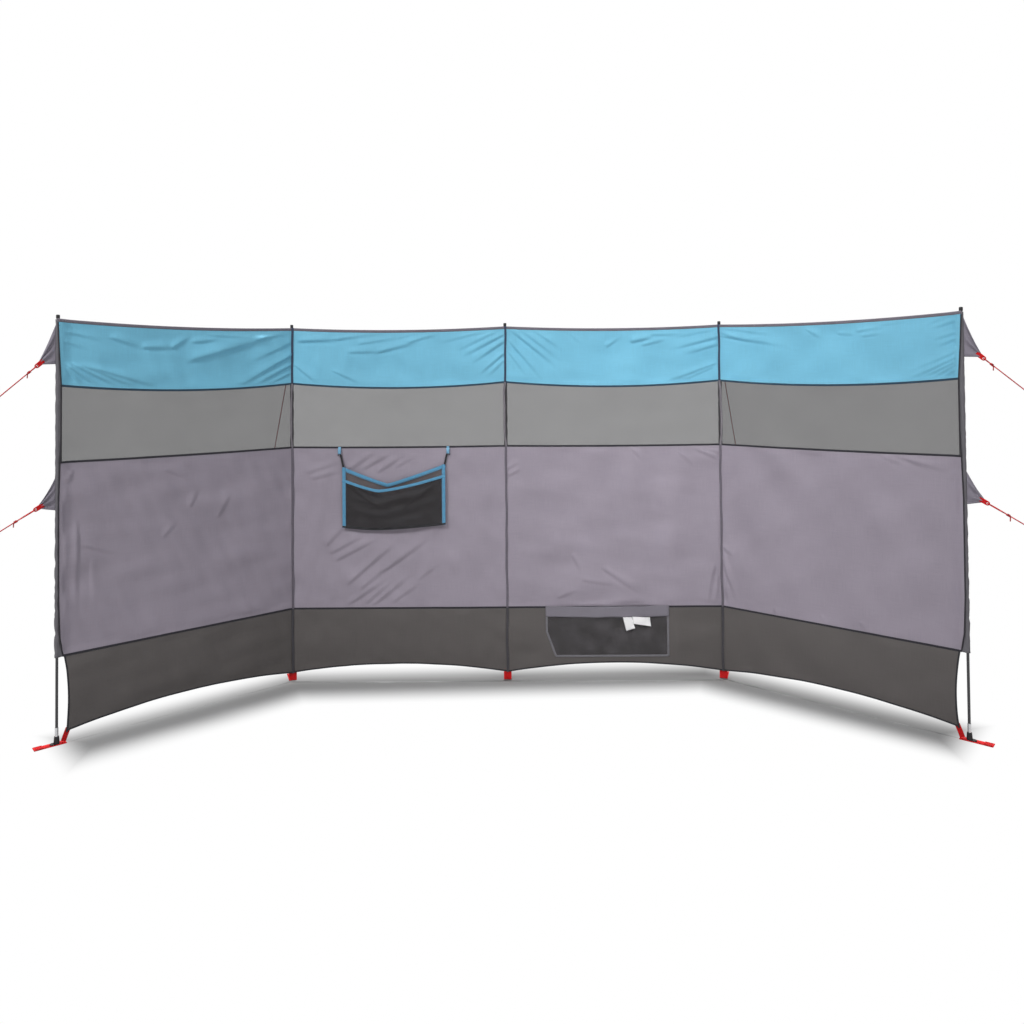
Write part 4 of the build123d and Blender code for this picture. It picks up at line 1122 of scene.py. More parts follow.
def sewn_edges():
    """Bound hem, seam tapes and skirt edge of every bay, with the stitches that hold them."""
    hem = [
        edge_line(bay, HEM_TOP, HEM_TAPE / 2, pitch=HEM_STEP, **wing_ends(bay, -SLEEVE_LAP))
        for bay in BAYS
    ]
    dressed(tape("top_hem_tape", hem, HEM_TAPE, HEM_TAPE_THICKNESS, grey_tape), "grey_tape", "top_hem")
    seams = [
        edge_line(bay, edge, **wing_ends(bay, wing_start(edge.height)))
        for edge in (UPPER_SEAM, MIDDLE_SEAM, LOWER_SEAM)
        for bay in BAYS
    ]
    upper = tape("upper_seam_tapes", seams[:4], SEAM_TAPE, SEAM_TAPE_THICKNESS, slate_tape)
    dressed(upper, "dark_tape", "band_seams")
    dressed(tape("lower_seam_tapes", seams[4:], SEAM_TAPE, SEAM_TAPE_THICKNESS, dark_tape), "dark_tape")
    foot = [
        edge_line(bay, SKIRT_FOOT, -SKIRT_TAPE / 2, **wing_ends(bay, SKIRT_EDGE_CORNER))
        for bay in (LEFT_CENTRE, RIGHT_CENTRE, *WINGS)
    ]
    foot += [free_edge_line(bay, SKIRT_TAPE / 2) for bay in WINGS]
    binding = tape("skirt_edge_tape", foot, SKIRT_TAPE, SKIRT_TAPE_THICKNESS, black_tape)
    dressed(binding, "dark_tape", "skirt_hem")

    hem_rows = [
        edge_line(bay, HEM_TOP, HEM_TAPE - HEM_ROW_INSET, side * HEM_TAPE_THICKNESS / 2)
        for bay in BAYS
        for side in (-1, 1)
    ]
    dressed(stitches("hem_stitches", hem_rows, grey_thread), "grey_tape")
    seam_rows = [
        edge_line(bay, edge, lower, side * SEAM_TAPE_THICKNESS / 2)
        for bay in BAYS
        for edge in (UPPER_SEAM, MIDDLE_SEAM, LOWER_SEAM)
        for side, lower in ((-1, 0.0), (1, -SEAM_ROW_SHIFT), (1, SEAM_ROW_SHIFT))
    ]
    dressed(stitches("seam_stitches", seam_rows, dark_thread, SEAM_STITCH_SPACING), "dark_tape")
    out, ends = SKIRT_TAPE_THICKNESS / 2, (FOOT_ROW_INSET, BAY_WIDTH - FOOT_ROW_INSET)
    foot_rows = [edge_line(bay, SKIRT_FOOT, -SKIRT_TAPE / 2, out, *ends) for bay in BAYS]
    foot_rows += [free_edge_line(bay, SKIRT_TAPE / 2, out) for bay in WINGS]
    dressed(stitches("skirt_edge_stitches", foot_rows, dark_thread), "dark_tape")


def end_piping():
    """Dark piping in the seam between a wing's cloth and its end sleeve."""
    height = np.linspace(HEM_FOOT.height, LOWER_SEAM.height, 160)
    lines = []
    for bay in WINGS:
        along = from_end(bay, wing_start(height) + END_PIPING * 0.3)
        out = cloth_relief(bay, along, height) + END_PIPING_OUT
        lines.append((bay.points(along, height, out), bay.facing()))
    dressed(tape("end_sleeve_piping", lines, END_PIPING, END_PIPING_THICKNESS, dark_tape), "dark_tape")


def pole_seams():
    """Tape over the seam in front of each inner pole, in each band's own colour, sewn down both sides."""
    zones = {"top": navy_tape, "mesh": lilac_tape, "main": pole_tape, "skirt": skirt_tape}
    mesh_zone = MIDDLE_SEAM.height + MESH_SEAM_FADE, UPPER_SEAM.height - MESH_SEAM_FADE
    rows = []
    for (zone, material), upper, lower in zip(zones.items(), CUT_EDGES, CUT_EDGES[1:]):
        tapes = []
        for number, pole in list(enumerate(POLES))[1:4]:
            steps = round((upper.height - lower.height) / POLE_TAPE_STEP)
            height = np.linspace(lower.height, upper.height, steps)
            out = POLE_TAPE_OUT + POLE_TAPE / 2 * math.tan(pole.half_turn)
            aside = 0.0012 * np.sin(height * 17 + number) + 0.0007 * np.sin(height * 41 + 2 * number)
            in_mesh = within(height, *mesh_zone, fade=MESH_SEAM_FADE)
            aside = aside + MESH_SEAM_SHIFT * in_mesh * (1 if number == 3 else -1)
            across = -square_to(pole.to_cloth)
            facing = np.append(pole.to_cloth, 0.0)
            sewn = [(shift, STITCH_LIFT, rows) for shift in (-POLE_ROW_SHIFT, POLE_ROW_SHIFT)]
            for shift, lift, into in [(0.0, 0.0, tapes), *sewn]:
                flat = CORNERS[number] + pole.to_cloth * (out + lift) + (aside + shift)[:, None] * across
                into.append((np.concatenate((flat, height[:, None]), axis=1), facing))
        made = tape(f"pole_seam_tape_{zone}", tapes, POLE_TAPE, POLE_TAPE_THICKNESS, material)
        dressed(made, "dark_tape", *(["pole_seam_tapes"] if zone == "top" else []))
    dressed(stitches("pole_seam_stitches", rows, dark_thread, SEAM_STITCH_SPACING), "dark_tape")


sewn_edges()
end_piping()
pole_seams()


# Sleeves
def sleeve_outline(reach):
    """A sleeve in plan, round its pole and narrowing to the edge that is sewn into the seam."""
    neck = reach - SLEEVE_NECK
    lap = math.acos((SLEEVE_RADIUS - SEAM_FIN) / neck)
    turns = np.linspace(lap, 2 * math.pi - lap, 27)
    ring = SLEEVE_RADIUS * spokes(turns)
    hem = np.array(((neck, -SEAM_FIN), (reach, -SEAM_FIN), (reach, SEAM_FIN), (neck, SEAM_FIN)))
    return np.concatenate((ring, [(ring[-1] + hem[0]) / 2], hem, [(ring[0] + hem[-1]) / 2]))


def pole_sleeve(pole, seed):
    """Cloth tunnel round a pole, drawn into small gathers, and narrowing to its sewn edge."""
    height = np.linspace(HEM_TOP.height - SLEEVE_DROP, LOWER_SEAM.height - SLEEVE_DROP, SLEEVE_ROWS)
    reaches = end_reach(height) if pole.at_end else np.full(SLEEVE_ROWS, POLE_SETBACK + SLEEVE_TUCK)
    outline = np.stack([sleeve_outline(reach) for reach in reaches])
    loose = ramp(-outline[..., 0], -SLEEVE_RADIUS, -SLEEVE_RADIUS * 0.2)
    angle = np.arctan2(outline[..., 1], outline[..., 0])
    random = np.random.default_rng(seed)
    gather = np.zeros(angle.shape)
    for _ in range(GATHERS):
        length, slant = random.uniform(*GATHER_LENGTHS), random.uniform(-GATHER_SLANT, GATHER_SLANT)
        phase, spin = random.uniform(0, 2 * math.pi), random.integers(1, 4)
        wave = np.sin(2 * math.pi * (height[:, None] + slant * angle) / length + spin * angle + phase)
        gather += GATHER_STEEPNESS * length * wave
    strength = 0.35 + 0.5 * ramp(-height, -1.0, -0.45) if pole.at_end else np.full(SLEEVE_ROWS, 0.4)
    gather = np.clip(gather, *GATHER_LIMITS) * strength[:, None] * loose
    side = -square_to(pole.to_cloth)

    def placed(plan, grow):
        spread = plan * (1 + grow[..., None] / SLEEVE_RADIUS)
        flat = pole.foot + spread[..., :1] * pole.to_cloth + spread[..., 1:] * side
        level = np.broadcast_to(height[:, None, None], flat.shape[:2] + (1,))
        return np.concatenate((flat, level), axis=-1)

    inside = (SLEEVE_RADIUS - SLEEVE_WALL) * spokes(angle)
    middle = outline[SLEEVE_ROWS // 2]
    travel = travelled(middle)
    uv = np.stack(np.broadcast_arrays(travel[None], height[:, None]), axis=-1)
    cloth = end_sleeve_cloth if pole.at_end else sleeve_cloth
    name = f"{pole.name}_sleeve_cloth"
    mesh = shell_mesh(name, placed(outline, gather), placed(inside, gather * 0.6), uv)
    made = dressed(linked(name, mesh, cloth), "sleeve_cloth", f"{pole.name}_sleeve")
    girth = travel[-1] + np.linalg.norm(middle[-1] - middle[0])
    flat = (float(girth), HEM_TOP.height - LOWER_SEAM.height)


for number, pole in enumerate(POLES):
    pole_sleeve(pole, SLEEVE_SEED + number)


# Guys
def gusset_tip(guy):
    return np.array((SLEEVE_RADIUS + GUSSET_REACH, guy.top - guy.fall))


def rope_way(pole, guy):
    """Direction of a rope in its upright plane, and the middle of the loop's hole."""
    tip = gusset_tip(guy)
    along = unit(np.array((pole.guy_run - PEG_RADIUS - ROPE_RADIUS, guy.eye_height)) - tip)
    return along, tip + along * LOOP_LENGTH


def gusset_parts(pole, guy, seed):
    """Triangle of cloth that spreads a guy's pull along the sleeve, pulled into folds."""
    rows, columns = 26, 22
    across, down = share_grid(columns, rows)
    tip = gusset_tip(guy)
    reach = SLEEVE_RADIUS - SLEEVE_TUCK + (tip[0] - SLEEVE_RADIUS + GUSSET_LAP) * across
    root = guy.top - guy.height * down
    end = tip[1] + GUSSET_TIP / 2 - GUSSET_TIP * down
    bowed = np.sin(math.pi * across)
    height = root + (end - root) * across - GUSSET_HOLLOW * bowed * (1 - 2 * down) * (1 - down)
    random = np.random.default_rng(seed)
    phase, pleats = random.uniform(0, 2 * math.pi), random.uniform(2.1, 3.0)
    fold = bowed**0.7 * np.sin(2 * math.pi * pleats * down + phase)
    aside = GUSSET_PLEAT * fold + GUSSET_RIPPLE * bowed * np.sin(5 * across + 9 * down + phase)
    places = pole.upright(pole.guy, np.stack((reach, height, aside), axis=-1))
    edge_rows = []
    for row in (2, rows - 3):
        for side in (-1, 1):
            line = np.stack((reach[row], height[row], aside[row] + side * STITCH_LIFT), axis=-1)[1:-3]
            edge_rows.append((pole.upright(pole.guy, line), pole.guy_side * side))
    return sheet_parts(places, flat_uv(reach, height), GUSSET_THICKNESS), edge_rows


def hull(points):
    """Outline of points in a plane, anticlockwise."""
    points = sorted(map(tuple, points))
    chains = []
    for order in (points, points[::-1]):
        chain = []
        for point in order:
            while len(chain) > 1 and np.cross(
                np.subtract(chain[-1], chain[-2]), np.subtract(point, chain[-1])
            ) <= 0:
                chain.pop()
            chain.append(point)
        chains += chain[:-1]
    return np.array(chains)


def loop_parts(pole, guy):
    """Webbing folded over the gusset's tip, with an eye for the rope."""
    along, hole = rope_way(pole, guy)
    across = -square_to(along)
    tip = gusset_tip(guy)
    circle = hole + LOOP_END_RADIUS * spokes(np.linspace(0, 6.28, 40))
    root = tip - along * LOOP_BACK
    outline = hull([*circle, root + across * LOOP_HALF_WIDTH, root - across * LOOP_HALF_WIDTH]) - hole
    rays = spokes(np.linspace(0, 2 * math.pi, 44, endpoint=False))
    columns = len(rays)
    reach = []
    for ray in rays:
        best = 0.0
        for here, there in zip(outline, np.roll(outline, -1, axis=0)):
            side = there - here
            crossing = ray[0] * side[1] - ray[1] * side[0]
            if abs(crossing) > 1e-12:
                distance = (here[0] * side[1] - here[1] * side[0]) / crossing
                share = (here[0] * ray[1] - here[1] * ray[0]) / crossing
                if distance > 0 and -1e-6 <= share <= 1 + 1e-6:
                    best = max(best, distance)
        reach.append(best)
    reach = np.array(reach)
    shares = np.array((0, 0.04, 0.12, 0.3, 0.5, 0.7, 0.88, 0.96, 1.0))
    thick = LOOP_HALF_THICKNESS * (1 - np.abs(2 * shares - 1) ** 7)
    profile = list(zip(shares, thick))
    profile += [(share, -half) for share, half in profile[-2:0:-1]]
    rings = []
    for share, half in profile:
        radius = LOOP_HOLE_RADIUS + (reach - LOOP_HOLE_RADIUS) * share
        flat = hole + radius[:, None] * rays
        rings.append(np.concatenate((flat, np.full((columns, 1), half)), axis=1))
    rings = np.array(rings)
    local = rings[..., :2] - hole
    uv = np.stack((local @ along, local @ across), axis=-1)
    points = pole.upright(pole.guy, rings)
    faces = grid_faces(len(rings), columns, wrap=True)
    last = (len(rings) - 1) * columns
    for here in range(columns):
        there = (here + 1) % columns
        faces.append((last + here, here, there, last + there))
    rows = []
    for side in (-1, 1):
        for shift in (-LOOP_ROW_SHIFT, LOOP_ROW_SHIFT):
            line = [tip + along * step + across * shift for step in LOOP_ROW_STEPS]
            line = np.array([(*point, side * (LOOP_HALF_THICKNESS + 0.0001)) for point in line])
            rows.append((pole.upright(pole.guy, line), pole.guy_side * side))
    return (points.reshape(-1, 3), [face[::-1] for face in faces], uv.reshape(-1, 2)), rows


def coil(place, along, side, knot):
    """A few round turns of rope about its own line."""
    up = np.cross(along, side)
    turn = np.linspace(0, 2 * math.pi * knot.turns, round(14 * knot.turns))
    return (
        place
        - along * knot.back
        + along * (turn / (2 * math.pi) * knot.pitch)[:, None]
        + knot.radius * (np.cos(turn)[:, None] * side + np.sin(turn)[:, None] * up)
    )


def rope_parts(pole, guy):
    """Taut rope: a doubled eye through the loop, its knot, the run, and an eye round the peg."""
    along, hole = rope_way(pole, guy)
    knot = hole + along * (guy.eye_length - KNOT_BACK)
    turn = np.linspace(0.16, 2 * math.pi - 0.16, 46)
    back = guy.eye_length * (1 - np.cos(turn)) / 2
    wide = EYE_HALF_WIDTH * np.sin(turn) * np.sin(turn / 2)
    eye = np.concatenate((knot - back[:, None] * along, wide[:, None]), axis=1)
    peg_side = np.array((pole.guy_run - PEG_RADIUS - ROPE_RADIUS, guy.eye_height))
    share = np.linspace(0, 1, 44)
    run = knot + share[:, None] * (peg_side - knot) + np.outer(4 * share * (1 - share), (0, -ROPE_SAG))
    run = pole.upright(pole.guy, np.concatenate((run, np.zeros((len(run), 1))), axis=1))
    line = unit(run[1] - run[0])
    spin = np.linspace(0, 2 * math.pi, 26)
    ring = PEG_RADIUS + ROPE_RADIUS + PEG_EYE_ROOM
    level = np.full(len(spin), guy.eye_height)
    peg_eye = np.stack((pole.guy_run - ring * np.cos(spin), level, ring * np.sin(spin)), axis=1)
    fall = pole.guy_side * TAIL_ASIDE + np.array((0, 0, -TAIL_FALL))
    tail = run[0] + line * TAIL_START + np.outer(np.linspace(0, 1, 8), fall)
    lines = (
        (pole.upright(pole.guy, eye), 0.92),
        (coil(run[0], line, pole.guy_side, EYE_KNOT), 0.9),
        (run, 1.0),
        (coil(run[-1], line, pole.guy_side, PEG_KNOT), 0.9),
        (pole.upright(pole.guy, peg_eye), 0.96),
        (tail, 0.9),
    )
    return [tube_parts(path, ROPE_RADIUS * share) for path, share in lines]


def guys():
    gussets, loops, gusset_rows, loop_rows, seed = [], [], [], [], GUSSET_SEED
    for name, guy in (("upper_guys", UPPER_GUY), ("lower_guys", LOWER_GUY)):
        ropes = []
        for pole in POLES:
            part, rows = gusset_parts(pole, guy, seed)
            gussets.append(part)
            gusset_rows += rows
            part, rows = loop_parts(pole, guy)
            loops.append(part)
            loop_rows += rows
            ropes += rope_parts(pole, guy)
            seed += 1
        dressed(joined(f"{name}_ropes", ropes, guy_rope), "guy_rope", name)
    # the gussets take the lilac cloth painted darker, as painted shade
    cloth = dressed(joined("guy_gusset_cloth", gussets, painted_shade_gusset_cloth), "lilac_cloth", "guy_gussets")
    sizes = [(guy.height + GUSSET_TIP) / 2 * (GUSSET_REACH + GUSSET_LAP) for guy in (UPPER_GUY, LOWER_GUY)]
    cut = len(POLES) * sum(sizes)
    cut / GUSSET_REACH
    dressed(joined("guy_webbing_loops", loops, red_webbing), "red_webbing", "guy_loops")
    dressed(stitches("gusset_stitches", gusset_rows, grey_thread, *FINE_STITCHES), "lilac_cloth")
    dressed(stitches("loop_stitches", loop_rows, red_thread, *LOOP_STITCHES), "red_webbing")


guys()


# Feet
def strap_line(pole, outward, profile):
    """A strap's line in an upright plane, and the side that it faces along the way."""
    profile = np.asarray(profile, float)
    tangent = tangents(profile)
    zero = np.zeros((len(profile), 1))
    normal = np.stack((-tangent[:, 1], tangent[:, 0]), axis=1)
    places = pole.upright(outward, np.concatenate((profile, zero), axis=1))
    facing = np.concatenate((normal[:, :1] * outward, normal[:, 1:]), axis=1)
    return places, facing


def folded_tail(start):
    """Floor strap from its start to the tail that is folded back and sewn down."""
    half = STRAP_THICKNESS / 2
    flat = [(x, half) for x in np.linspace(start, STRAP_TAIL - 0.004, 26)]
    turn = np.linspace(-0.5 * math.pi, 0.5 * math.pi, 7)
    bend = [
        (STRAP_TAIL - 0.003 + 0.0016 * math.cos(angle), half + 0.0011 + 0.0011 * math.sin(angle))
        for angle in turn
    ]
    back = [(x, half + 0.0022) for x in np.linspace(STRAP_TAIL - 0.006, STRAP_TAIL - STRAP_FOLD, 8)]
    return flat + bend + back


def foot_straps():
    straps, tabs, rows = [], [], []
    half = STRAP_THICKNESS / 2
    for number, pole in enumerate(POLES):
        outward = -pole.to_cloth
        if pole.at_end:
            straps.append(strap_line(pole, outward, folded_tail(-TAB_FOOT - TAB_WIDTH)))
            bay = LEFT_WING if number == 0 else RIGHT_WING
            climb = np.linspace(0.08, 1, 14)
            along = TAB_FOOT + TAB_WIDTH / 2 + (SKIRT_EDGE_CORNER - TAB_FOOT) * climb
            along = from_end(bay, along)
            behind = -0.0023 - 0.0012 * np.sin(math.pi * climb)
            tabs.append((bay.points(along, STRAP_TOP * climb, behind), bay.facing()))
        else:
            riser = -POLE_SETBACK + 0.0015 + half
            profile = [(riser, z) for z in np.linspace(STRAP_TOP, 0.004, 14)]
            profile += [(riser + 0.0008, 0.0022), (riser + 0.0024, 0.0010)]
            straps.append(strap_line(pole, outward, profile + folded_tail(riser + 0.005)))

        # a box of stitches with a cross in it holds the tail
        lower, upper = STRAP_TAIL - STRAP_FOLD + STRAP_BOX_BACK, STRAP_TAIL - STRAP_BOX_END
        level = STRAP_THICKNESS * 2 + STITCH_THREAD
        side = STRAP_BOX_HALF
        box = [(lower, -side), (lower, side), (upper, side), (upper, -side)]
        for here, there in zip(box + box[:2], box[1:] + box[:1] + box[2:4]):
            ends = [pole.upright(outward, (x, level, y)) for x, y in (here, there)]
            rows.append((np.linspace(*ends, 5), np.array((0.0, 0.0, 1.0))))
    strap = tape("foot_strap_webbing", straps, STRAP_WIDTH, STRAP_THICKNESS, red_webbing)
    dressed(strap, "red_webbing", "foot_straps")
    dressed(tape("skirt_corner_tabs", tabs, TAB_WIDTH, STRAP_THICKNESS, red_webbing), "red_webbing")
    dressed(stitches("foot_strap_stitches", rows, red_thread, *STRAP_STITCHES), "red_webbing")


foot_straps()


# Organiser
def hanging(edge, share):
    """Height of an edge that hangs from its two corners."""
    side = np.where(share < edge.middle, edge.middle, 1 - edge.middle)
    corner = np.where(share < edge.middle, edge.left, edge.right)
    return edge.low + (corner - edge.low) * (np.abs(share - edge.middle) / side) ** edge.power


def organiser_along(share):
    return ORGANISER_START + (ORGANISER_END - ORGANISER_START) * share


def pocket_out(share, height):
    """How far the organiser's pocket stands out: full at its mouth, flat at its foot, in swags."""
    top, foot = hanging(POCKET_TOP, share), hanging(ORGANISER_FOOT, share)
    below = top - height
    fill = np.clip((height - foot) / (top - foot), 0, 1)
    mouth = np.sin(math.pi * np.clip((share - POCKET_MARGIN) / (1 - 2 * POCKET_MARGIN), 0, 1))
    bulge = POCKET_BULGE * mouth**0.8 * fill**0.75
    swag = np.sin(2 * math.pi * below / SWAG_SPACING + 2.6 * share) * np.exp(-below / SWAG_FADE) * mouth

    # a fold falls from each corner of the mouth, and small ones gather at the foot
    width = ORGANISER_END - ORGANISER_START
    left = np.exp(-(((below - 0.42 * share * width) / 0.010) ** 2))
    left = left * ramp(share, 0.05, 0.14) * ramp(-share, -0.55, -0.3)
    right = np.exp(-(((below - 0.5 * (1 - share) * width) / 0.011) ** 2))
    right = right * ramp(1 - share, 0.05, 0.14) * ramp(share, 0.5, 0.7)
    crumple = 0.0022 * np.sin(2 * math.pi * share * 7 + 1.0) * mouth
    crumple = crumple * ramp(-fill, -0.35, 0.0) * ramp(fill, 0, 0.08)
    drape = (SWAG_DEPTH * (swag + left) + 0.0060 * right) * ramp(fill, 0.0, 0.25) + crumple
    return ORGANISER_OUT + np.maximum(0.0028 + bulge + drape, 0.0020)


def organiser():
    columns, rows = 80, 44
    share, down = share_grid(columns, rows)
    along = organiser_along(share)

    top, pocket_top = hanging(ORGANISER_TOP, share), hanging(POCKET_TOP, share)
    foot = hanging(ORGANISER_FOOT, share)
    height = top + (foot - top) * down
    slack = 0.0014 * np.sin(9 * share + 5 * down) * np.sin(math.pi * share)
    places = LEFT_CENTRE.points(along, height, ORGANISER_OUT + slack)
    uv = flat_uv(along, height)
    back = cloth_piece("organiser_back_net", places, uv, 0.0, back_net, "pocket_mesh", "organiser_back")

    height = pocket_top + (foot - pocket_top) * down
    places = LEFT_CENTRE.points(along, height, pocket_out(share, height))
    uv = flat_uv(along, height)
    pocket = cloth_piece(
        "organiser_pocket_net", places, uv, 0.0, pocket_net, "pocket_mesh", "organiser_pocket"
    )

    facing = LEFT_CENTRE.facing()
    line = np.linspace(0, 1, 70)
    inset = BINDING_WIDTH / 2

    def across(edge, lower, out):
        return LEFT_CENTRE.points(organiser_along(line), hanging(edge, line) - lower, out), facing

    def upright(share, out, shift=0.0):
        top, foot = float(hanging(ORGANISER_TOP, share)), float(hanging(ORGANISER_FOOT, share))
        height = np.linspace(top - 0.002, foot, 40)
        inward = (inset if share == 0 else -inset) + shift
        return LEFT_CENTRE.points(np.full(40, organiser_along(share) + inward), height, out), facing

    frame_lines = [across(ORGANISER_TOP, inset, ORGANISER_OUT + 0.0005)]
    frame_lines += [upright(share, ORGANISER_OUT + 0.0026) for share in (0, 1)]
    binding = tape("organiser_binding_tape", frame_lines, BINDING_WIDTH, BINDING_THICKNESS, blue_tape)
    dressed(binding, "blue_tape", "organiser_binding")
    mouth = [across(POCKET_TOP, 0.004, pocket_out(line, hanging(POCKET_TOP, line)) + 0.0004)]
    dressed(tape("organiser_pocket_mouth_tape", mouth, MOUTH_WIDTH, MOUTH_THICKNESS, blue_tape), "blue_tape")
    hem = [across(ORGANISER_FOOT, -FOOT_TAPE_WIDTH / 2, ORGANISER_OUT + 0.0022)]
    dressed(tape("organiser_foot_tape", hem, FOOT_TAPE_WIDTH, FOOT_TAPE_THICKNESS, black_tape), "dark_tape")
    rows = [across(ORGANISER_TOP, BINDING_WIDTH - 0.003, ORGANISER_OUT + 0.0021)]
    rows += [upright(share, ORGANISER_OUT + 0.0041, shift) for share, shift in ((0, 0.005), (1, -0.005))]
    dressed(stitches("organiser_stitches", rows, grey_thread, *FINE_STITCHES), "blue_tape")

    loops = []
    turn = np.linspace(0, math.pi, 12)
    for place in HANGER_PLACES:
        top = float(edge_height(MIDDLE_SEAM, LEFT_CENTRE, np.array(place)))
        out = np.concatenate(((0.0022, 0.0024), 0.0075 - 0.0046 * np.cos(turn), (0.0110, 0.0074, 0.0040)))
        fall = np.concatenate(((0.002, -0.010), -0.0220 - 0.0056 * np.sin(turn), (-0.012, -0.004, 0.001)))
        height = top + fall
        slope = tangents(np.stack((out, height), axis=1))
        places = LEFT_CENTRE.points(np.full(len(out), place), height, out)
        loops.append((places, np.concatenate((-slope[:, 1:] * LEFT_CENTRE.out, slope[:, :1]), axis=1)))
    hangers = tape("organiser_hanging_loops", loops, HANGER_WIDTH, HANGER_THICKNESS, pale_tape)
    dressed(hangers, "blue_tape", "organiser_hangers")


organiser()


# Mesh pocket on the skirt
def skirt_pocket_left(height):
    """The pocket's left side: upright, then leaning in below its knee."""
    below = np.clip((SKIRT_POCKET_KNEE - height) / (SKIRT_POCKET_KNEE - SKIRT_POCKET_BOTTOM), 0, 1)
    return SKIRT_POCKET_START + SKIRT_POCKET_SLANT * below


def skirt_pocket_out(share, height):
    """How far the skirt's pocket stands out: full at its mouth, flat at its foot, and crumpled."""
    fill = np.clip((height - SKIRT_POCKET_BOTTOM) / (SKIRT_POCKET_MOUTH - SKIRT_POCKET_BOTTOM), 0, 1)
    bulge = SKIRT_POCKET_BULGE * np.sin(math.pi * share) ** 0.85 * fill
    crumple = 0.0036 * np.sin(2 * math.pi * (2.3 * share + 5.5 * height))
    crumple = crumple + 0.0028 * np.sin(31 * share - 38 * height)
    return 0.0016 + bulge + crumple * np.sin(math.pi * share) * ramp(fill, 0, 0.25) * ramp(-fill, -1.2, -0.8)


def skirt_pocket():
    mouth = SKIRT_POCKET_MOUTH
    columns, rows = 90, 30
    share, down = share_grid(columns, rows)
    height = mouth + (SKIRT_POCKET_BOTTOM - mouth) * down
    left = skirt_pocket_left(height)
    along = left + (SKIRT_POCKET_END - left) * share
    places = RIGHT_CENTRE.points(along, height, skirt_pocket_out(share, height))
    uv = flat_uv(along, height)
    net = cloth_piece("skirt_pocket_net", places, uv, 0.0, skirt_net, "pocket_mesh", "skirt_pocket_mesh")

    start, end = SKIRT_POCKET_START - SKIRT_POCKET_EDGE, SKIRT_POCKET_END + SKIRT_POCKET_EDGE
    share, down = share_grid(columns, 10)
    along = start + (end - start) * share
    band_top = LOWER_SEAM.height + SKIRT_BAND_RISE
    height = band_top + (mouth - SKIRT_BAND_LAP - band_top) * down
    ripple = 0.0012 * np.sin(26 * share + 3 * down) * np.sin(math.pi * share)
    out = skirt_pocket_out(share, np.full_like(height, mouth)) + ripple
    places = RIGHT_CENTRE.points(along, height, out + 0.0010)
    uv = flat_uv(along, height)
    cloth, node = pocket_band_cloth, "skirt_pocket_binding"
    band = cloth_piece("skirt_pocket_band", places, uv, SKIRT_BAND_THICKNESS, cloth, "grey_tape", node)
    flat = (end - start, band_top - mouth + SKIRT_BAND_LAP)

    facing = RIGHT_CENTRE.facing()
    half = SKIRT_POCKET_EDGE / 2

    def line(corners, out):
        corners = np.array(corners)
        steps = [np.linspace(here, there, 24) for here, there in zip(corners, corners[1:])]
        return [(RIGHT_CENTRE.points(step[:, 0], step[:, 1], out), facing) for step in steps]

    foot_start = SKIRT_POCKET_START + SKIRT_POCKET_SLANT
    sides = [
        (SKIRT_POCKET_START - half, mouth),
        (SKIRT_POCKET_START - half, SKIRT_POCKET_KNEE - 0.002),
        (foot_start - half, SKIRT_POCKET_BOTTOM - half),
        (SKIRT_POCKET_END + half, SKIRT_POCKET_BOTTOM - half),
        (SKIRT_POCKET_END + half, mouth),
    ]
    edges = line(sides, 0.0018)
    edging = tape("skirt_pocket_edge_tape", edges, SKIRT_POCKET_EDGE, SKIRT_POCKET_EDGE_THICKNESS, edge_tape)
    dressed(edging, "grey_tape")
    rows = line(sides, 0.0030)
    share = np.linspace(0.01, 0.99, 80)
    for lower in (-0.0075, 0.029):
        heights = np.full(80, SKIRT_POCKET_TOP - lower)
        out = skirt_pocket_out(share, np.full(80, mouth)) + 0.0018
        rows.append((RIGHT_CENTRE.points(start + (end - start) * share, heights, out), facing))
    dressed(stitches("skirt_pocket_stitches", rows, grey_thread, *FINE_STITCHES), "grey_tape")


def skirt_pocket_tags():
    """Two blank tags sewn in under the pocket's band: one hangs, the other is turned aside."""
    mouth = SKIRT_POCKET_MOUTH
    parts = []
    for middle, width, length, lean, tilt, flare, curl in TAGS:
        across, down = np.meshgrid(np.linspace(-0.5, 0.5, 14), np.linspace(0, 1, 16))
        along = middle + across * width + lean * down * length
        height = mouth - TAG_TUCK - down * length * (1 + flare * across) - tilt * across * width
        share = (along - SKIRT_POCKET_START) / (SKIRT_POCKET_END - SKIRT_POCKET_START)
        out = skirt_pocket_out(share, np.full_like(height, mouth)) + TAG_OUT
        out = out + curl * down**2 * (0.4 + across) + 0.0012 * np.sin(6 * across + 4 * down)
        places = RIGHT_CENTRE.points(along, height, out)
        parts.append(sheet_parts(places, flat_uv(along, height), TAG_THICKNESS))
    tags = dressed(joined("skirt_pocket_tag_pair", parts, white_label), "white_tag", "skirt_pocket_tags")


skirt_pocket()
skirt_pocket_tags()

# Rigid solids keep their shape and take their finish here
RIGID = {
    **{f"{pole.name}_pole": fibreglass for pole in POLES},
    "pole_caps": black_plastic,
    "foot_cups": black_plastic,
    "organiser_hooks": black_plastic,
    "pole_ferrules": bright_steel,
    "guy_pegs": bright_steel,
}
for node, finish in RIGID.items():
    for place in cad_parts[node].material_slots:
        place.material = finish


# Stage: white floor and backdrop, soft light from the front left and above, and the camera
WHITE = (1, 1, 1, 1)
FLOOR_REACH = 40
# greys of the floor to other rays and to the eye, and of the painted shadow where light comes in under the
# skirt
FLOOR_GREY, SHADOW_GREY, PAINTED_SHADOW_GREY = 0.45, 0.40, 0.147
WORLD_FILL = 0.26


def grey(level):
    return (level, level, level, 1)


def seen_rays(graph):
    """1 on rays that show the stage itself: to the eye, in reflections and through glass."""
    ray = graph.node("ShaderNodeLightPath")
    return ray.math("MAXIMUM", ray.out("Is Glossy Ray")).math("MAXIMUM", ray.out("Is Transmission Ray"))


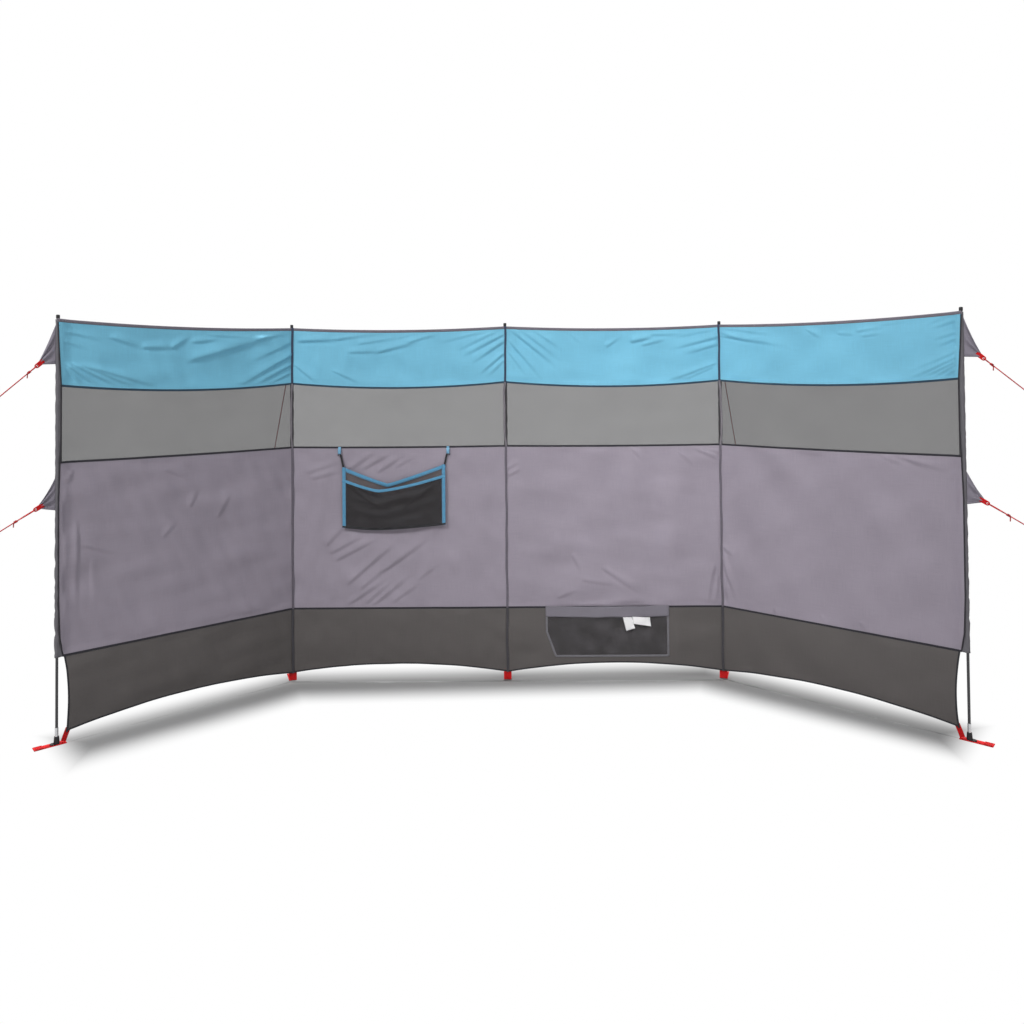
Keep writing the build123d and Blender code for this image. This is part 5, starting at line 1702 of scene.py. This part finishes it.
def white_stage(material):
    """White to the eye and in reflections, with the shadow kept near the windbreak, and a painted shadow on
    the floor where light comes in under the skirt.
    """
    graph = Graph(material.node_tree)
    graph.tree.nodes.clear()
    place = graph.split(graph.node("ShaderNodeTexCoord", output="Object"))
    seen = seen_rays(graph)

    def smooth(value, low, high):
        ends = {"Value": value, "From Min": low, "From Max": high}
        return graph.node("ShaderNodeMapRange", {"interpolation_type": "SMOOTHSTEP"}, ends)

    def behind(middle, wing):
        """How far behind the line of the bays a place lies, from its depths at the middle and a wing."""
        return (aside * math.sin(WING_TURN) + wing * math.cos(WING_TURN)).math("MAXIMUM", middle)

    aside, depth = place.math("ABSOLUTE") - BAY_WIDTH, place.out("Y")
    back = depth + POLE_SETBACK

    # painted shadow: where light comes in under the skirt, the floor is painted darker, so the shadow starts
    # softly
    painted_shadow_share = smooth(behind(back + 0.007, back - 0.002), -0.018, -0.002)
    darker = graph.blend(painted_shadow_share, grey(SHADOW_GREY), grey(PAINTED_SHADOW_GREY))
    surface = graph.blend(seen, grey(FLOOR_GREY), darker)
    pale = graph.node("ShaderNodeBsdfDiffuse", None, {"Color": surface})
    white = graph.node("ShaderNodeEmission", None, {"Color": WHITE, "Strength": 1.0})

    # the shadow shows in a strip that lies further back towards the right, as in the photo
    strip = behind(depth - place * 0.05 - 0.044, depth - place * 0.025 - 0.02)
    near, far = smooth(strip, -0.07, 0.155), smooth(strip * -1.0, 0.09, 0.295)
    along_wing = aside * math.cos(WING_TURN) - back * math.sin(WING_TURN)
    share = near.math("MAXIMUM", far).math("MAXIMUM", smooth(along_wing, 0.82, 0.97))
    mixed = graph.node("ShaderNodeMixShader", None, {0: seen * share, 1: pale, 2: white})
    graph.node("ShaderNodeOutputMaterial", None, {"Surface": mixed})


floor_mesh = bpy.data.meshes.new("floor")
floor_corners = [(x * FLOOR_REACH, y * FLOOR_REACH, 0) for x, y in ((-1, -1), (1, -1), (1, 1), (-1, 1))]
floor_mesh.from_pydata(floor_corners, [], [(0, 1, 2, 3)])
floor_white = bpy.data.materials.new("floor_white")
floor_white.use_nodes = True
white_stage(floor_white)
linked("floor", floor_mesh, floor_white)

world = bpy.data.worlds.new("studio")
world.use_nodes = True
bpy.context.scene.world = world
sky = Graph(world.node_tree)
sky.tree.nodes.clear()
fill = sky.node("ShaderNodeBackground", None, {"Color": WHITE, "Strength": WORLD_FILL})
white = sky.node("ShaderNodeBackground", None, {"Color": WHITE, "Strength": 1.0})
backdrop = sky.node("ShaderNodeMixShader", None, {0: seen_rays(sky), 1: fill, 2: white})
sky.node("ShaderNodeOutputWorld", None, {"Surface": backdrop})


def soft_light(name, place, target, size, power, spread=180):
    lamp = bpy.data.lights.new(name, "AREA")
    lamp.shape, lamp.size, lamp.energy = "DISK", size, power
    lamp.spread = math.radians(spread)
    made = bpy.data.objects.new(name, lamp)
    made.location = place
    made.rotation_euler = (Vector(target) - Vector(place)).to_track_quat("-Z", "Y").to_euler()
    bpy.context.collection.objects.link(made)


soft_light("key", (-3.0, -4.0, 4.8), (0.2, -0.2, 0.9), 1.6, 174)
soft_light("middle", (1.0, -3.0, 4.0), (0.5, 0.0, 1.0), 1.0, 36)
soft_light("accent", (0.8, -3.3, 3.2), (0.58, 0.0, 0.8), 0.5, 2.0, spread=36)
soft_light("top", (0.0, 1.75, 6.5), (0.0, -0.2, 0.0), 0.9, 520)

# The camera as fitted to the photo
CAMERA_PLACE = (-0.0543, -3.5164, 1.271)
CAMERA_TURN, CAMERA_PITCH, CAMERA_ROLL = 0.461, 91.236, -0.453
CAMERA_SHIFT = (0.0254, -0.1452)
SENSOR_WIDTH = 36
FOCAL_LENGTH = 28.72
camera_lens = bpy.data.cameras.new("camera")
camera_lens.sensor_width = SENSOR_WIDTH
camera_lens.lens = FOCAL_LENGTH
camera_lens.shift_x, camera_lens.shift_y = CAMERA_SHIFT
camera = bpy.data.objects.new("camera", camera_lens)
camera.matrix_world = (
    Matrix.Translation(CAMERA_PLACE)
    @ Matrix.Rotation(math.radians(CAMERA_TURN), 4, "Z")
    @ Matrix.Rotation(math.radians(CAMERA_PITCH), 4, "X")
    @ Matrix.Rotation(math.radians(CAMERA_ROLL), 4, "Z")
)
bpy.context.collection.objects.link(camera)
bpy.context.scene.camera = camera
bpy.context.scene.view_settings.view_transform = "Standard"
